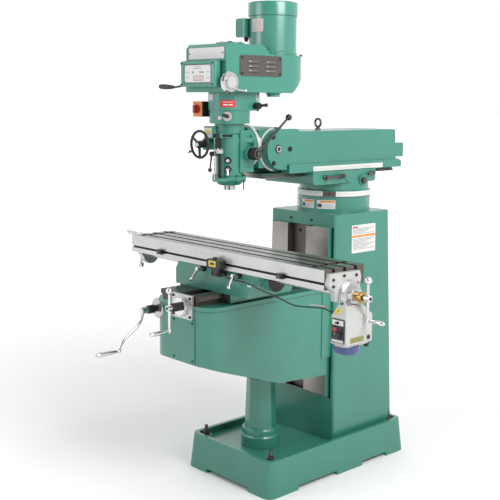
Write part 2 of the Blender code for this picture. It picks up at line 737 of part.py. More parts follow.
def make_drive():
    pulley = groove_wheel((0, SPINDLE_Y), 0.072, 0.060, 1.835, 1.925, 0.0205)
    finish_node("spindle_pulley", "spindle_pulley", pulley, DARK_STEEL)
    pulley = groove_wheel((0, MOTOR_Y), 0.050, 0.038, 1.845, 1.905, None)
    shaft = disc("Z", (0, MOTOR_Y), 0.0120, 1.900, CASE_MOTOR_TOP + 0.025, 16)
    finish_node("motor_pulley", "motor_pulley", fuse(pulley, shaft), DARK_STEEL)
    belt = prism("Z", belt_outline(0.0105), BELT_Z - 0.0085, BELT_Z + 0.0085)
    inside = prism("Z", belt_outline(GAP), BELT_Z - 0.02, BELT_Z + 0.02)
    finish_node("drive_belt", "head", cut(belt, inside), RUBBER)


def make_quill():
    centre = (0, SPINDLE_Y)
    low = QUILL_LOW
    quill = turned("Z", centre, [(low, 0.039), (low + 0.003, QUILL_RADIUS), (1.640, QUILL_RADIUS)], 28)
    bore = disc("Z", centre, 0.0253, low - 0.01, 1.65, 24)
    rack_face = PINION_Y - PINION_RADIUS - 0.0005
    rack = box(-0.020, 0.020, rack_face, SPINDLE_Y + 0.06, 1.440, 1.65)
    finish_node("quill", "quill", cut(quill, bore, rack), GROUND_STEEL)
    nose_low = SPINDLE_NOSE_Z
    nose_high = SPINDLE_NOSE_Z + SOCKET_DEPTH
    nose = turned("Z", centre, [(nose_low, 0.0235), (nose_low + 0.001, 0.025), (nose_high, 0.025)], 32)
    socket = [(nose_low - 0.005, 0.0171), (nose_low + 0.022, SOCKET_RADIUS)]
    socket += [(nose_high + 0.005, SOCKET_RADIUS)]
    finish_node("spindle_nose", "spindle", cut(nose, turned("Z", centre, socket, 32)), GROUND_STEEL)
    top = 1.930
    shaft = turned("Z", centre, [(nose_high + GAP, 0.025), (1.665, 0.025), (1.665, 0.020), (top, 0.020)], 28)
    drawbar_hole = disc("Z", centre, 0.0085, nose_high - 0.005, top + 0.01, 16)
    finish_node("spindle", "spindle", cut(shaft, drawbar_hole), GROUND_STEEL)
    rod = disc("Z", centre, 0.0078, 1.490, top + 0.004, 12)
    head = prism("Z", circle(centre, 0.0125, 6), top + GAP, top + 0.016)
    finish_node("drawbar", "spindle", fuse(rod, head), DARK_STEEL)


def make_quill_controls():
    hub_face = HUB_FACE + GAP
    pinion = disc("X", (PINION_Y, PINION_Z), PINION_RADIUS, -0.0190, 0.0190, 18)
    shaft = disc("X", (PINION_Y, PINION_Z), 0.008, 0.0, hub_face + 0.01, 14)
    profile = [(hub_face, 0.028), (0.122, 0.028), (0.125, 0.024)]
    profile += [(0.134, 0.024), (0.136, 0.011), (0.142, 0.011)]
    hub = turned("X", (PINION_Y, PINION_Z), profile, 24)
    lever_path = [(0.130, -0.408, 1.542), (0.160, -0.262, 1.686)]
    lever = bar(lever_path[0], lever_path[1], 0.0055)
    knob = ball((0.160, -0.262, 1.686), 0.0145)
    finish_node("quill_feed_lever", "quill_feed_lever", fuse(pinion, shaft, hub, lever, knob), BLACK)

    centre = Vector((-0.052, -0.595, 1.568))
    rim_radius = 0.0575
    wheel = torus(centre, (0, 1, 0), rim_radius, 0.0058, 28, 6)
    hub = disc("Y", (-0.052, 1.568), 0.016, -0.610, -0.5653, 16)
    shaft = disc("Y", (-0.052, 1.568), 0.0070, -0.570, -0.530, 12)
    parts = [hub, shaft]
    for spoke in range(3):
        angle = math.radians(30 + 120 * spoke)
        outward = Vector((math.cos(angle), 0, math.sin(angle)))
        parts.append(bar(centre + 0.008 * outward, centre + rim_radius * outward, 0.0052, 8))
    grip_at = centre + rim_radius * Vector((math.cos(math.radians(215)), 0, math.sin(math.radians(215))))
    ends = [grip_at + Vector((0, reach, 0)) for reach in (0.0, -0.010, -0.034)]
    parts.append(swept(ends, [0.0035, 0.0045, 0.0060], 10))
    finish_node("fine_feed_handwheel", "fine_feed_handwheel", fuse(wheel, *parts), BLACK)

    hub = disc("Y", (0.010, 1.529), 0.010, -0.586, -0.570 - GAP, 16)
    arm = bar((0.010, -0.5805, 1.524), (0.004, -0.584, 1.462), 0.0035, 8)
    knob = ball((0.004, -0.584, 1.459), 0.0090)
    finish_node("feed_trip_lever", "feed_trip_lever", fuse(hub, arm, knob), BLACK)

    outward = Vector((0.68, -0.733, 0)).normalized()
    foot = Vector((0, SPINDLE_Y, 1.462)) + outward * (BARREL_RADIUS + 0.0012)
    hub = bar(foot, foot + outward * 0.020, 0.009, 14)
    arm_start = foot + outward * 0.014
    arm = swept([arm_start, arm_start + Vector((0.004, -0.004, -0.026))], [0.0050, 0.0065], 10)
    finish_node("quill_lock_lever", "quill_lock_lever", fuse(hub, arm), CHROME)

    screw = disc("Z", (0.038, -0.558), 0.0085, 1.4245 + GAP, 1.5985 - GAP, 16)
    finish_node("quill_stop_screw", "head", screw, BLACK)
    nut = disc("Z", (0.038, -0.558), 0.0155, 1.531, 1.549, 20)
    nut_bore = disc("Z", (0.038, -0.558), 0.0085 + GAP, 1.52, 1.56, 16)
    finish_node("quill_stop_nut", "quill_stop_nut", cut(nut, nut_bore), CHROME)


def make_head_controls():
    face = CASE_HALF + GAP
    dial = turned("X", (-0.589, 1.833), [(face, 0.046), (0.141, 0.046), (0.146, 0.042), (0.152, 0.028)], 36)
    arm_path = [(0.146, -0.585, 1.815), (0.149, -0.552, 1.802), (0.149, -0.515, 1.799)]
    arm = swept(arm_path, [0.0045, 0.0045, 0.0050])
    knob = ball((0.149, -0.511, 1.799), 0.0075)
    finish_node("speed_dial", "speed_dial", fuse(dial, arm, knob), CHROME)

    hub = disc("Y", (-0.136, 1.825), 0.0055, -0.606, -0.594, 12)
    arm = swept(
        [(-0.136, -0.600, 1.825), (-0.160, -0.612, 1.818), (-0.185, -0.620, 1.814), (-0.200, -0.624, 1.814)],
        [0.0042, 0.0042, 0.0042, 0.0045],
    )
    grip = swept(
        [(-0.196, -0.623, 1.814), (-0.215, -0.627, 1.814), (-0.262, -0.637, 1.816), (-0.278, -0.640, 1.817)],
        [0.0060, 0.0095, 0.0115, 0.0070],
        12,
    )
    finish_node("brake_lever", "brake_lever", fuse(hub, arm, grip), BLACK)

    outward = Vector((0.0613, -0.0665, 0)).normalized()
    foot = Vector((0, SPINDLE_Y, 1.690)) + outward * 0.0907
    plate = bar(foot, foot + outward * 0.004, 0.021, 24)
    stem = bar(foot, foot + outward * 0.016, 0.008, 12)
    grip_centre = foot + outward * 0.017
    along = Vector((-0.5, -0.45, 0.2)).normalized()
    grip = swept(
        [grip_centre - along * 0.006, grip_centre + along * 0.010, grip_centre + along * 0.019],
        [0.0060, 0.0075, 0.0060],
        12,
    )
    finish_node("feed_selector_knob", "feed_selector_knob", fuse(plate, stem, grip), BLACK)

    hub = disc("X", (-0.405, 1.735), 0.014, BACKGEAR_BOSS_FACE + GAP, 0.126, 16)
    arm_path = [(0.118, -0.405, 1.735), (0.138, -0.392, 1.738), (0.152, -0.384, 1.739)]
    arm = swept(arm_path, [0.0060, 0.0060, 0.0085])
    stub = bar((0.112, -0.405, 1.735), (0.112, -0.405, 1.712), 0.0040, 8)
    finish_node("backgear_lever", "backgear_lever", fuse(hub, arm, stub), BLACK)

    box_body = prism("Z", rounded(-0.154, -0.088, -0.552, -0.480, 0.005, 2), 1.686, 1.753)
    clearance = prism("Z", gear_plan(GAP), 1.66, 1.78)
    finish_node("switch_box", "head", cut(box_body, clearance), ORANGE)
    plate = disc("Y", (-0.121, 1.7195), 0.019, -0.560, -0.552 - GAP, 24)
    grip = box(-0.1265, -0.1155, -0.574, -0.556, 1.703, 1.736)
    finish_node("switch_knob", "switch_knob", fuse(plate, grip), RED)


# ---------------------------------------------------------------- knee


def knee_plan():
    """Plan outline of the knee as (x, y), with its big round front corners."""
    radius = KNEE_HALF - KNEE_FRONT_FLAT
    rear = WAY_FRONT - GAP
    outline = [(KNEE_HALF, rear), (-KNEE_HALF, rear)]
    outline += arc((-KNEE_FRONT_FLAT, KNEE_FRONT + radius), radius, 180, 270, 7)
    outline += arc((KNEE_FRONT_FLAT, KNEE_FRONT + radius), radius, 270, 360, 7)
    return outline


def make_knee():
    rear = WAY_FRONT - GAP
    side = [
        (KNEE_FRONT - 0.01, 0.636),
        (-0.745, 0.634),
        (-0.335, 0.493),
        (rear + 0.01, 0.470),
        (rear + 0.01, KNEE_DECK),
        (KNEE_FRONT - 0.01, KNEE_DECK),
    ]
    body = common(prism("X", side, -0.25, 0.25), prism("Z", knee_plan(), 0.4, 1.0))
    way_section = [
        (-KNEE_WAY_HALF_LOW, KNEE_DECK - 0.01),
        (KNEE_WAY_HALF_LOW, KNEE_DECK - 0.01),
        (KNEE_WAY_HALF_LOW, 0.911),
        (KNEE_WAY_HALF, 0.918),
        (KNEE_WAY_HALF, KNEE_WAY_TOP),
        (-KNEE_WAY_HALF, KNEE_WAY_TOP),
        (-KNEE_WAY_HALF, 0.918),
        (-KNEE_WAY_HALF_LOW, 0.911),
    ]
    way = prism("Y", way_section, KNEE_FRONT + 0.004, rear)
    crank_boss = disc("Y", (KNEE_CRANK_X, KNEE_CRANK_Z), 0.046, CRANK_BOSS_FACE, -0.640, 28)
    keeper_low, keeper_high = 0.556, 0.890
    reach_back = GROOVE_BACK - GAP
    keeper_out = GROOVE_OUTER - 0.004
    keepers = mirrored_boxes(WAY_OUTER + GAP, keeper_out, -0.060, reach_back, keeper_low, keeper_high)
    lips = mirrored_boxes(
        WAY_OUTER - 0.0135, GROOVE_OUTER - 0.006, WAY_BACK + GAP, reach_back, keeper_low, keeper_high
    )
    fuse(body, way, crank_boss, *keepers)
    fuse(body, *lips)
    wall = 0.020
    cavity_side = [
        (KNEE_FRONT + wall, 0.55),
        (KNEE_FRONT + wall, KNEE_ROOF),
        (rear - wall, KNEE_ROOF),
        (rear - wall, 0.42),
        (-0.335, 0.42),
    ]
    cavity_plan = rounded(-KNEE_HALF + wall, KNEE_HALF - wall, KNEE_FRONT + wall, rear - wall, 0.065, 4)
    cavity = common(prism("X", cavity_side, -0.20, 0.20), prism("Z", cavity_plan, 0.40, 0.85))
    screw_trough = box(CROSS_X - 0.034, CROSS_X + 0.034, KNEE_FRONT - 0.02, -0.080, 0.869, 0.950)
    crank_bore = disc("Y", (KNEE_CRANK_X, KNEE_CRANK_Z), 0.0125, -0.75, -0.600, 16)
    spot_face = disc("Y", (KNEE_CRANK_X, KNEE_CRANK_Z), 0.050, -0.80, CRANK_BOSS_FACE, 28)
    finish_node("knee", "knee", cut(body, cavity, screw_trough, crank_bore, spot_face), GREEN)

    front = KNEE_FRONT - GAP
    cover = prism("Y", rounded(-0.042, 0.108, 0.6415, 0.833, 0.004, 2), front - 0.005, front)
    finish_node("knee_cover", "knee", cover, GREEN)
    plate = rounded(CROSS_X - 0.069, CROSS_X + 0.069, 0.8335 + GAP, 0.940, 0.005, 2)
    flange = prism("Y", plate, front - 0.012, front)
    collar = turned("Y", (CROSS_X, CROSS_Z), [(-0.782, 0.040), (-0.776, 0.044), (front - 0.010, 0.044)], 32)
    fuse(flange, collar)
    cut(flange, disc("Y", (CROSS_X, CROSS_Z), 0.0124, -0.80, front + 0.01, 16))
    finish_node("cross_feed_flange", "knee", flange, GROUND_STEEL)


def ball_crank(axis, hub, reach_up, reach_down, handle_side, level):
    """A ball crank square to an axis: hub, straight arm, ball at one end and a handle at the other.

    handle_side is the end that carries the handle (+1 top, -1 bottom); level holds the arm's place along
    the axis and the handle's outer end.
    """
    plane, handle_end = level
    step = 1 if handle_end > plane else -1
    top = hub[1] + reach_up
    bottom = hub[1] - reach_down

    def at(along, u, v):
        return on_plane(axis, along, u, v)

    arm = bar(at(plane, hub[0], bottom), at(plane, hub[0], top), 0.0058)
    boss = disc(axis, hub, 0.0135, plane - 0.013, plane + 0.013, 16)
    ball_z, handle_z = (bottom, top) if handle_side > 0 else (top, bottom)
    knob = ball(at(plane, hub[0], ball_z), 0.0150)
    foot = ball(at(plane, hub[0], handle_z), 0.0095)
    length = abs(handle_end - plane)
    places = [0.0, 0.30, 0.70, 0.92, 1.0]
    radii = [0.0050, 0.0070, 0.0100, 0.0085, 0.0045]
    handle = swept([at(plane + step * length * place, hub[0], handle_z) for place in places], radii, 8)
    return fuse(arm, boss, knob, foot, handle)


def make_knee_controls():
    screw = disc("Z", (0, PEDESTAL_Y), ELEVATING_SCREW_RADIUS, 0.220, KNEE_ROOF - GAP, 20)
    bearing = disc("Z", (0, PEDESTAL_Y), 0.038, 0.800, KNEE_ROOF - GAP, 24)
    finish_node("elevating_screw", "elevating_screw", fuse(screw, bearing), GROUND_STEEL)

    centre = (KNEE_CRANK_X, KNEE_CRANK_Z)
    face = CRANK_BOSS_FACE - GAP
    profile = [(face - 0.074, 0.019), (face - 0.040, 0.019), (face - 0.038, 0.015), (face - 0.026, 0.015)]
    profile += [(face - 0.024, 0.038), (face - 0.019, 0.045), (face - 0.005, 0.045), (face, 0.042)]
    dial = turned("Y", centre, profile, 24)
    shaft = disc("Y", centre, 0.0120, face - 0.004, -0.610, 16)
    hub = disc("Y", centre, 0.0150, face - 0.110, face - 0.072, 14)
    arm_drop = [(0.099, 0.0), (0.105, 0.030), (0.128, 0.064), (0.170, 0.092)]
    arm_drop += [(0.204, 0.118), (0.224, 0.148), (0.230, 0.166)]
    arm_path = [(KNEE_CRANK_X, face - reach, KNEE_CRANK_Z - drop) for reach, drop in arm_drop]
    arm = swept(arm_path, [0.0072, 0.0068, 0.0064, 0.0062, 0.0062, 0.0065, 0.0070], 8)
    handle_z = KNEE_CRANK_Z - 0.160
    foot = ball((KNEE_CRANK_X, face - 0.230, handle_z), 0.0105)
    handle_path = [(KNEE_CRANK_X, face - reach, handle_z) for reach in (0.230, 0.260, 0.305, 0.338, 0.350)]
    handle = swept(handle_path, [0.0050, 0.0070, 0.0105, 0.0105, 0.0060], 10)
    finish_node("knee_crank", "knee_crank", fuse(dial, shaft, hub, arm, foot, handle), CHROME)

    screw = disc("Y", (CROSS_X, CROSS_Z), 0.0120, -0.815, -0.090, 16)
    collar = disc("Y", (CROSS_X, CROSS_Z), 0.0190, -0.8195, -0.782 - GAP, 20)
    finish_node("cross_feed_screw", "cross_feed_screw", fuse(screw, collar), DARK_STEEL)
    crank = ball_crank("Y", (CROSS_X, CROSS_Z), 0.074, 0.100, -1, (-0.8330, -0.939))
    finish_node("cross_feed_crank", "cross_feed_screw", crank, CHROME)


# ---------------------------------------------------------------- saddle and table


def table_way_half(z):
    """Half width of the dovetail under the table at height z; its sides lean out by half their height."""
    return TABLE_WAY_HALF + 0.5 * (z - TABLE_UNDERSIDE)


def make_saddle():
    low = KNEE_WAY_TOP + GAP
    front, rear = -0.620, -0.360
    outline = [(-0.193, low), (-0.193, 1.005), (-0.170, SADDLE_TOP), (0.353, SADDLE_TOP)]
    outline += [(0.353, 1.036), (0.309, 0.995), (0.288, low)]
    body = prism("Y", outline, front, rear)
    way_low = SADDLE_TOP - 0.002
    way_high = TABLE_WAY_TOP - GAP
    half_low, half_high = [table_way_half(z) - 0.0004 for z in (way_low, way_high)]
    way = prism(
        "X",
        [
            (TABLE_Y - half_low, way_low),
            (TABLE_Y + half_low, way_low),
            (TABLE_Y + half_high, way_high),
            (TABLE_Y - half_high, way_high),
        ],
        -0.193,
        0.353,
    )
    skirts = []
    for side in (-1, 1):
        skirt = [
            (side * (KNEE_WAY_HALF + 0.0005), low + 0.002),
            (side * 0.172, low + 0.002),
            (side * 0.172, KNEE_DECK + 0.003),
            (side * (KNEE_WAY_HALF_LOW + 0.0005), KNEE_DECK + 0.003),
            (side * (KNEE_WAY_HALF_LOW + 0.0005), 0.9105),
            (side * (KNEE_WAY_HALF + 0.0005), 0.9175),
        ]
        skirts.append(prism("Y", skirt, front + 0.01, rear - 0.002))
    nut = box(CROSS_X - 0.030, CROSS_X + 0.030, -0.520, -0.450, 0.8712, low + 0.002)
    bearing = disc("X", (TABLE_Y, LEAD_Z), 0.052, 0.320, 0.368, 28)
    fuse(body, way, nut, bearing, *skirts)
    lead_bore = disc("X", (TABLE_Y, LEAD_Z), LEAD_RADIUS + 0.0008, -0.25, 0.40, 20)
    cross_bore = disc("Y", (CROSS_X, CROSS_Z), 0.0124, -0.53, -0.44, 16)
    left_bore = disc("Y", (0.006, 1.032), 0.0053, -0.63, -0.590, 12)
    right_bore = disc("Y", (0.237, 1.032), 0.0053, -0.63, -0.590, 12)
    finish_node("saddle", "saddle", cut(body, lead_bore, cross_bore, left_bore, right_bore), GREEN)

    face = front - GAP
    switch = prism("Y", rounded(0.088, 0.178, 1.052, 1.091, 0.006, 2), -0.676, -0.6455)
    bracket = box(0.108, 0.158, -0.668, face, 1.018, 1.0462)
    post = box(0.108, 0.158, -0.668, -0.6455, 1.040, 1.060)
    roller = disc("Z", (0.129, -0.661), 0.009, 1.090, 1.100, 12)
    fuse(switch, bracket, post, roller)
    finish_node("limit_switch", "saddle", switch, BLACK)

    for name, x, tip in (("table_lock_left", 0.006, -0.032), ("table_lock_right", 0.237, -0.016)):
        stud = disc("Y", (x, 1.032), 0.0050, face - 0.006, -0.592, 12)
        hub = disc("Y", (x, 1.032), 0.0095, -0.664, face, 16)
        arm = swept([(x, -0.656, 1.032), (x + tip, -0.664, 0.986)], [0.0050, 0.0038], 10)
        knob = ball((x + tip, -0.664, 0.984), 0.0085)
        finish_node(name, name, fuse(stud, hub, arm, knob), CHROME)


def table_outline():
    """Section of the table as (y, z): T-slots in the top, stop groove in the front, way in the underside."""
    neck = SLOT_NECK / 2
    head = SLOT_HEAD / 2
    mouth = table_way_half(TABLE_UNDERSIDE)
    roof = table_way_half(TABLE_WAY_TOP)
    outline = [(TABLE_FRONT, TABLE_UNDERSIDE), (TABLE_Y - mouth, TABLE_UNDERSIDE)]
    outline += [(TABLE_Y - roof, TABLE_WAY_TOP), (TABLE_Y + roof, TABLE_WAY_TOP)]
    outline += [(TABLE_Y + mouth, TABLE_UNDERSIDE), (TABLE_BACK, TABLE_UNDERSIDE), (TABLE_BACK, TABLE_TOP)]
    for slot in (1, 0, -1):
        middle = TABLE_Y + slot * SLOT_PITCH
        neck_low = TABLE_TOP - SLOT_NECK_DEPTH
        floor = TABLE_TOP - SLOT_DEPTH
        outline += [(middle + neck, TABLE_TOP), (middle + neck, neck_low), (middle + head, neck_low)]
        outline += [(middle + head, floor), (middle - head, floor), (middle - head, neck_low)]
        outline += [(middle - neck, neck_low), (middle - neck, TABLE_TOP)]
    outline += [(TABLE_FRONT, TABLE_TOP), (TABLE_FRONT, DOG_Z + 0.005), (TABLE_FRONT + 0.010, DOG_Z + 0.005)]
    outline += [(TABLE_FRONT + 0.010, DOG_Z - 0.005), (TABLE_FRONT, DOG_Z - 0.005)]
    return outline


def make_table():
    body = prism("X", table_outline(), TABLE_LEFT, TABLE_RIGHT)
    troughs = [
        box(middle - 0.013, middle + 0.013, TABLE_FRONT + 0.014, TABLE_BACK - 0.014, TABLE_TOP - 0.013, 1.14)
        for middle in (-0.447, 0.657)
    ]
    finish_node("table", "table", cut(body, *troughs), GROUND_STEEL)

    face = TABLE_LEFT - GAP
    outline = [(-0.590, 1.105), (-0.590, 1.040)] + arc((TABLE_Y, LEAD_Z), 0.046, 190, 350, 12)
    outline += [(-0.461, 1.040), (-0.461, 1.105)]
    bracket = prism("X", outline, face - 0.030, face)
    dial = disc("X", (TABLE_Y, LEAD_Z), 0.030, face - 0.042, face - 0.028, 24)
    fuse(bracket, dial)
    cut(bracket, disc("X", (TABLE_Y, LEAD_Z), LEAD_RADIUS + GAP, face - 0.06, face + 0.02, 20))
    finish_node("table_end_bracket", "table", bracket, GROUND_STEEL)

    low, high = DOG_Z - 0.0045, DOG_Z + 0.0045
    for name, x in (("stop_dog_left", -0.272), ("stop_dog_right", 0.512)):
        rail = box(x - 0.015, x + 0.015, TABLE_FRONT + 0.0007, TABLE_FRONT + 0.0095, low, high)
        neck = box(x - 0.012, x + 0.012, TABLE_FRONT - 0.004, TABLE_FRONT + 0.004, low, high)
        section = rounded(-0.657, TABLE_FRONT - GAP, DOG_Z - 0.011, DOG_Z + 0.011, 0.003, 2)
        block = prism("X", section, x - 0.017, x + 0.017)
        finish_node(name, name, fuse(block, rail, neck), BLACK)


def make_power_feed():
    face = TABLE_RIGHT + GAP
    lead = (TABLE_Y, LEAD_Z)
    plate = prism(
        "X",
        [
            (-0.628, 1.111),
            (-0.638, 1.071),
            (-0.631, 1.056),
            (-0.609, 1.044),
            (-0.599, 1.000),
            (-0.470, 1.000),
            (-0.451, 1.081),
            (-0.459, 1.108),
        ],
        face,
        0.762,
    )
    dome_profile = [(0.755, 0.058), (0.776, 0.058), (0.782, 0.050), (0.786, 0.036), (0.806, 0.034)]
    dome = turned("X", lead, dome_profile, 32)
    body = loft(
        "Z",
        [
            (FEED_LOW, rounded(FEED_INNER, FEED_FACE, -0.628, -0.474, 0.006, 2)),
            (0.952, rounded(FEED_INNER, FEED_FACE, -0.628, -0.474, 0.006, 2)),
            (0.990, rounded(FEED_INNER, 0.812, -0.590, -0.498, 0.006, 2)),
            (1.005, rounded(FEED_INNER, 0.788, -0.578, -0.506, 0.006, 2)),
        ],
    )
    foot = prism("Z", rounded(0.770, 0.840, -0.622, -0.480, 0.020, 3), FEED_LOW - 0.008, FEED_LOW + 0.01)
    fuse(plate, dome, body, foot)
    cut(plate, disc("X", lead, LEAD_RADIUS + GAP, 0.70, 0.85, 20))
    cut(plate, disc("Y", (0.806, 0.885), 0.0055, -0.64, -0.600, 12))
    finish_node("power_feed_housing", "table", plate, WHITE)
    motor_top = FEED_LOW - 0.008 - GAP
    profile = [(0.806, 0.040), (0.809, 0.046), (0.820, 0.050), (motor_top, 0.050)]
    motor = turned("Z", (0.800, -0.572), profile, 28)
    finish_node("power_feed_motor", "table", motor, BLUE)
    knob_face = -0.628 - GAP
    knob = turned("Y", (0.806, 0.885), [(-0.648, 0.014), (-0.645, 0.017), (knob_face, 0.018)], 20)
    stem = disc("Y", (0.806, 0.885), 0.0050, -0.634, -0.602, 12)
    finish_node("feed_knob", "feed_knob", fuse(knob, stem), BLACK)

    screw = disc("X", lead, LEAD_RADIUS, -0.574, 0.8475, 16)
    finish_node("lead_screw", "lead_screw", screw, GROUND_STEEL)
    for name, plane, handle_end, side in (
        ("table_crank_left", -0.5875, -0.705, 1),
        ("table_crank_right", 0.8608, 0.944, -1),
    ):
        reach_up, reach_down = (0.088, 0.062) if side > 0 else (0.070, 0.085)
        crank = ball_crank("X", lead, reach_up, reach_down, side, (plane, handle_end))
        finish_node(name, "lead_screw", crank, CHROME)


def smooth_route(knots, spacing):
    """Points a given spacing apart on a smooth curve through the knots (Catmull-Rom)."""
    points = [Vector(knot) for knot in knots]
    points = [points[0] * 2 - points[1]] + points + [points[-1] * 2 - points[-2]]
    fine = []
    for index in range(1, len(points) - 2):
        before, start, end, after = points[index - 1 : index + 3]
        for step in range(40):
            t = step / 40
            fine.append(
                0.5
                * (
                    2 * start
                    + (end - before) * t
                    + (2 * before - 5 * start + 4 * end - after) * t * t
                    + (3 * start - before - 3 * end + after) * t**3
                )
            )
    fine.append(points[-2])
    route = [fine[0]]
    walked = 0.0
    for previous, point in zip(fine, fine[1:]):
        walked += (point - previous).length
        if walked >= spacing:
            route.append(point)
            walked = 0.0
    route[-1] = fine[-1]
    return route


CABLE_KNOTS = [
    (0.1584, -0.650, 1.030),
    (0.172, -0.650, 1.029),
    (0.187, -0.648, 1.022),
    (0.210, -0.644, 1.015),
    (0.260, -0.644, 1.015),
    (0.310, -0.646, 1.014),
    (0.352, -0.650, 1.009),
    (0.404, -0.654, 1.000),
    (0.472, -0.656, 0.991),
    (0.522, -0.654, 0.982),
    (0.562, -0.650, 0.971),
    (0.597, -0.644, 0.965),
    (0.640, -0.636, 0.967),
    (0.690, -0.626, 0.971),
    (0.726, -0.617, 0.971),
    (0.745, -0.6085, 0.9625),
    (0.755, -0.607, 0.961),
    (0.7651, -0.607, 0.961),
]


def make_cable():
    route = smooth_route(CABLE_KNOTS, 0.014)
    curve = bpy.data.curves.new("limit_switch_cable", "CURVE")
    curve.dimensions = "3D"
    curve.bevel_depth = 0.0028
    curve.bevel_resolution = 2
    curve.use_fill_caps = True
    spline = curve.splines.new("POLY")
    spline.points.add(len(route) - 1)
    origin = Vector(BODIES["saddle"][1])
    for target, point in zip(spline.points, route):
        target.co = (*(point - origin), 1.0)
    curve.materials.append(new_material("limit_switch_cable", BLACK))
    cable = bpy.data.objects.new("limit_switch_cable", curve)
    bpy.context.collection.objects.link(cable)
    cable.parent = AXES["saddle"]


make_base()
make_column()
make_pedestal()
make_turret()
make_ram_locks()
make_ram()
make_adapter()
make_quill_housing()
make_gear_housing()
make_belt_case()
make_motor()
make_drive()
make_quill()
make_quill_controls()
make_head_controls()
make_knee()
make_knee_controls()
make_saddle()
make_table()
make_power_feed()
make_cable()
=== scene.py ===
"""Looks of the turret milling machine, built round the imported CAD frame.

Frame, in metres: +Z up from the floor, +X to the operator's right, +Y to the back of the machine.
"""

import math

import bmesh
import bpy
from mathutils import Matrix, Vector


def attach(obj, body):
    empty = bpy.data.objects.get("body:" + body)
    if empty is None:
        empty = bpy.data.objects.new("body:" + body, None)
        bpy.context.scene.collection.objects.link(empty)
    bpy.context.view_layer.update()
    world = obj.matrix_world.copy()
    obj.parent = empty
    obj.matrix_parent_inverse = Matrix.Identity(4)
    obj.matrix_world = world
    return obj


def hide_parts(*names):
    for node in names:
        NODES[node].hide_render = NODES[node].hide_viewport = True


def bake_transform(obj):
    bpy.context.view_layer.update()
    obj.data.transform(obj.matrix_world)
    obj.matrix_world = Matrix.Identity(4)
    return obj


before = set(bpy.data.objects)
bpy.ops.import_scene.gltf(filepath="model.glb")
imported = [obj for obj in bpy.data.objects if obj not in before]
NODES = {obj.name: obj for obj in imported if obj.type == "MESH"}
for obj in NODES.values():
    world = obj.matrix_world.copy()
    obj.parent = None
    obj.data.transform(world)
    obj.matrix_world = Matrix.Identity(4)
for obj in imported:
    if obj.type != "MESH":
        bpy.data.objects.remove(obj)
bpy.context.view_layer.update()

# ---------------------------------------------------------------- places repeated from the CAD

COLUMN_FOOT, COLUMN_TOP = 0.1403, 1.234
TURRET_CENTRE = (0.0, 0.22)
TURRET_RADIUS = 0.178
SPINDLE_Y = -0.468
SPINDLE_CENTRE = (0.0, SPINDLE_Y)
STOP_ROD = (0.038, -0.558)
FEED_KNOB = (0.806, 0.885)
MOTOR_CENTRE = (0.0, -0.211)
NOD = (-0.27, 1.543)
LEAD = (-0.5255, 1.02)
CROSS = (0.033, 0.887)
KNEE_CRANK = (-0.165, 0.842)
SHEET_LIFT = 0.0006  # how far a thin plate stands off the face that it is stuck to

# ---------------------------------------------------------------- camera

CAMERA_PLACE = (3.098, -3.2, 1.758)
CAMERA_ANGLES = (47.293, 9.11, 0.418)  # turn to the right, rise and roll, in degrees
CAMERA_LENS = 67.11


def aim_camera():
    """The photograph's viewing angle: from the front right, a little above the head of the machine."""
    turn, rise, roll = (math.radians(angle) for angle in CAMERA_ANGLES)
    back = Vector((math.sin(turn) * math.cos(rise), -math.cos(turn) * math.cos(rise), math.sin(rise)))
    right = Vector((math.cos(turn), math.sin(turn), 0.0))
    up = back.cross(right)
    rotation = Matrix((right, up, back)).transposed() @ Matrix.Rotation(roll, 3, "Z")
    camera = bpy.data.objects.new("camera", bpy.data.cameras.new("camera"))
    bpy.context.scene.collection.objects.link(camera)
    camera.data.lens = CAMERA_LENS
    camera.data.sensor_width = 36.0
    camera.matrix_world = Matrix.Translation(CAMERA_PLACE) @ rotation.to_4x4()
    bpy.context.scene.camera = camera


aim_camera()

# ---------------------------------------------------------------- materials


class Graph:
    """A node material under construction."""

    def __init__(self, name):
        self.material = bpy.data.materials.new(name)
        self.material.use_nodes = True
        self.nodes = self.material.node_tree.nodes
        self.links = self.material.node_tree.links
        self.shader = self.nodes["Principled BSDF"]
        self.place = self.nodes.new("ShaderNodeTexCoord").outputs["Object"]

    def noise(self, scale, detail=4.0, stretch=(1.0, 1.0, 1.0), roughness=0.55):
        mapping = self.nodes.new("ShaderNodeMapping")
        mapping.inputs["Scale"].default_value = stretch
        self.links.new(self.place, mapping.inputs["Vector"])
        noise = self.nodes.new("ShaderNodeTexNoise")
        noise.inputs["Scale"].default_value = scale
        noise.inputs["Detail"].default_value = detail
        noise.inputs["Roughness"].default_value = roughness
        self.links.new(mapping.outputs["Vector"], noise.inputs["Vector"])
        return noise.outputs["Fac"]

    def span(self, value, low, high, to_low, to_high):
        node = self.nodes.new("ShaderNodeMapRange")
        node.inputs["From Min"].default_value = low
        node.inputs["From Max"].default_value = high
        node.inputs["To Min"].default_value = to_low
        node.inputs["To Max"].default_value = to_high
        self.links.new(value, node.inputs["Value"])
        return node.outputs["Result"]

    def mix(self, share, first, second):
        """Mix of two colours; each is a colour or a socket."""
        node = self.nodes.new("ShaderNodeMix")
        node.data_type = "RGBA"
        self.links.new(share, node.inputs["Factor"])
        for socket, value in ((node.inputs["A"], first), (node.inputs["B"], second)):
            if isinstance(value, tuple):
                socket.default_value = (*value, 1.0)
            else:
                self.links.new(value, socket)
        return node.outputs["Result"]

    def bump(self, height, strength, distance):
        node = self.nodes.new("ShaderNodeBump")
        node.inputs["Strength"].default_value = strength
        node.inputs["Distance"].default_value = distance
        self.links.new(height, node.inputs["Height"])
        self.links.new(node.outputs["Normal"], self.shader.inputs["Normal"])


def shade(colour, factor):
    return tuple(min(1.0, channel * factor) for channel in colour)


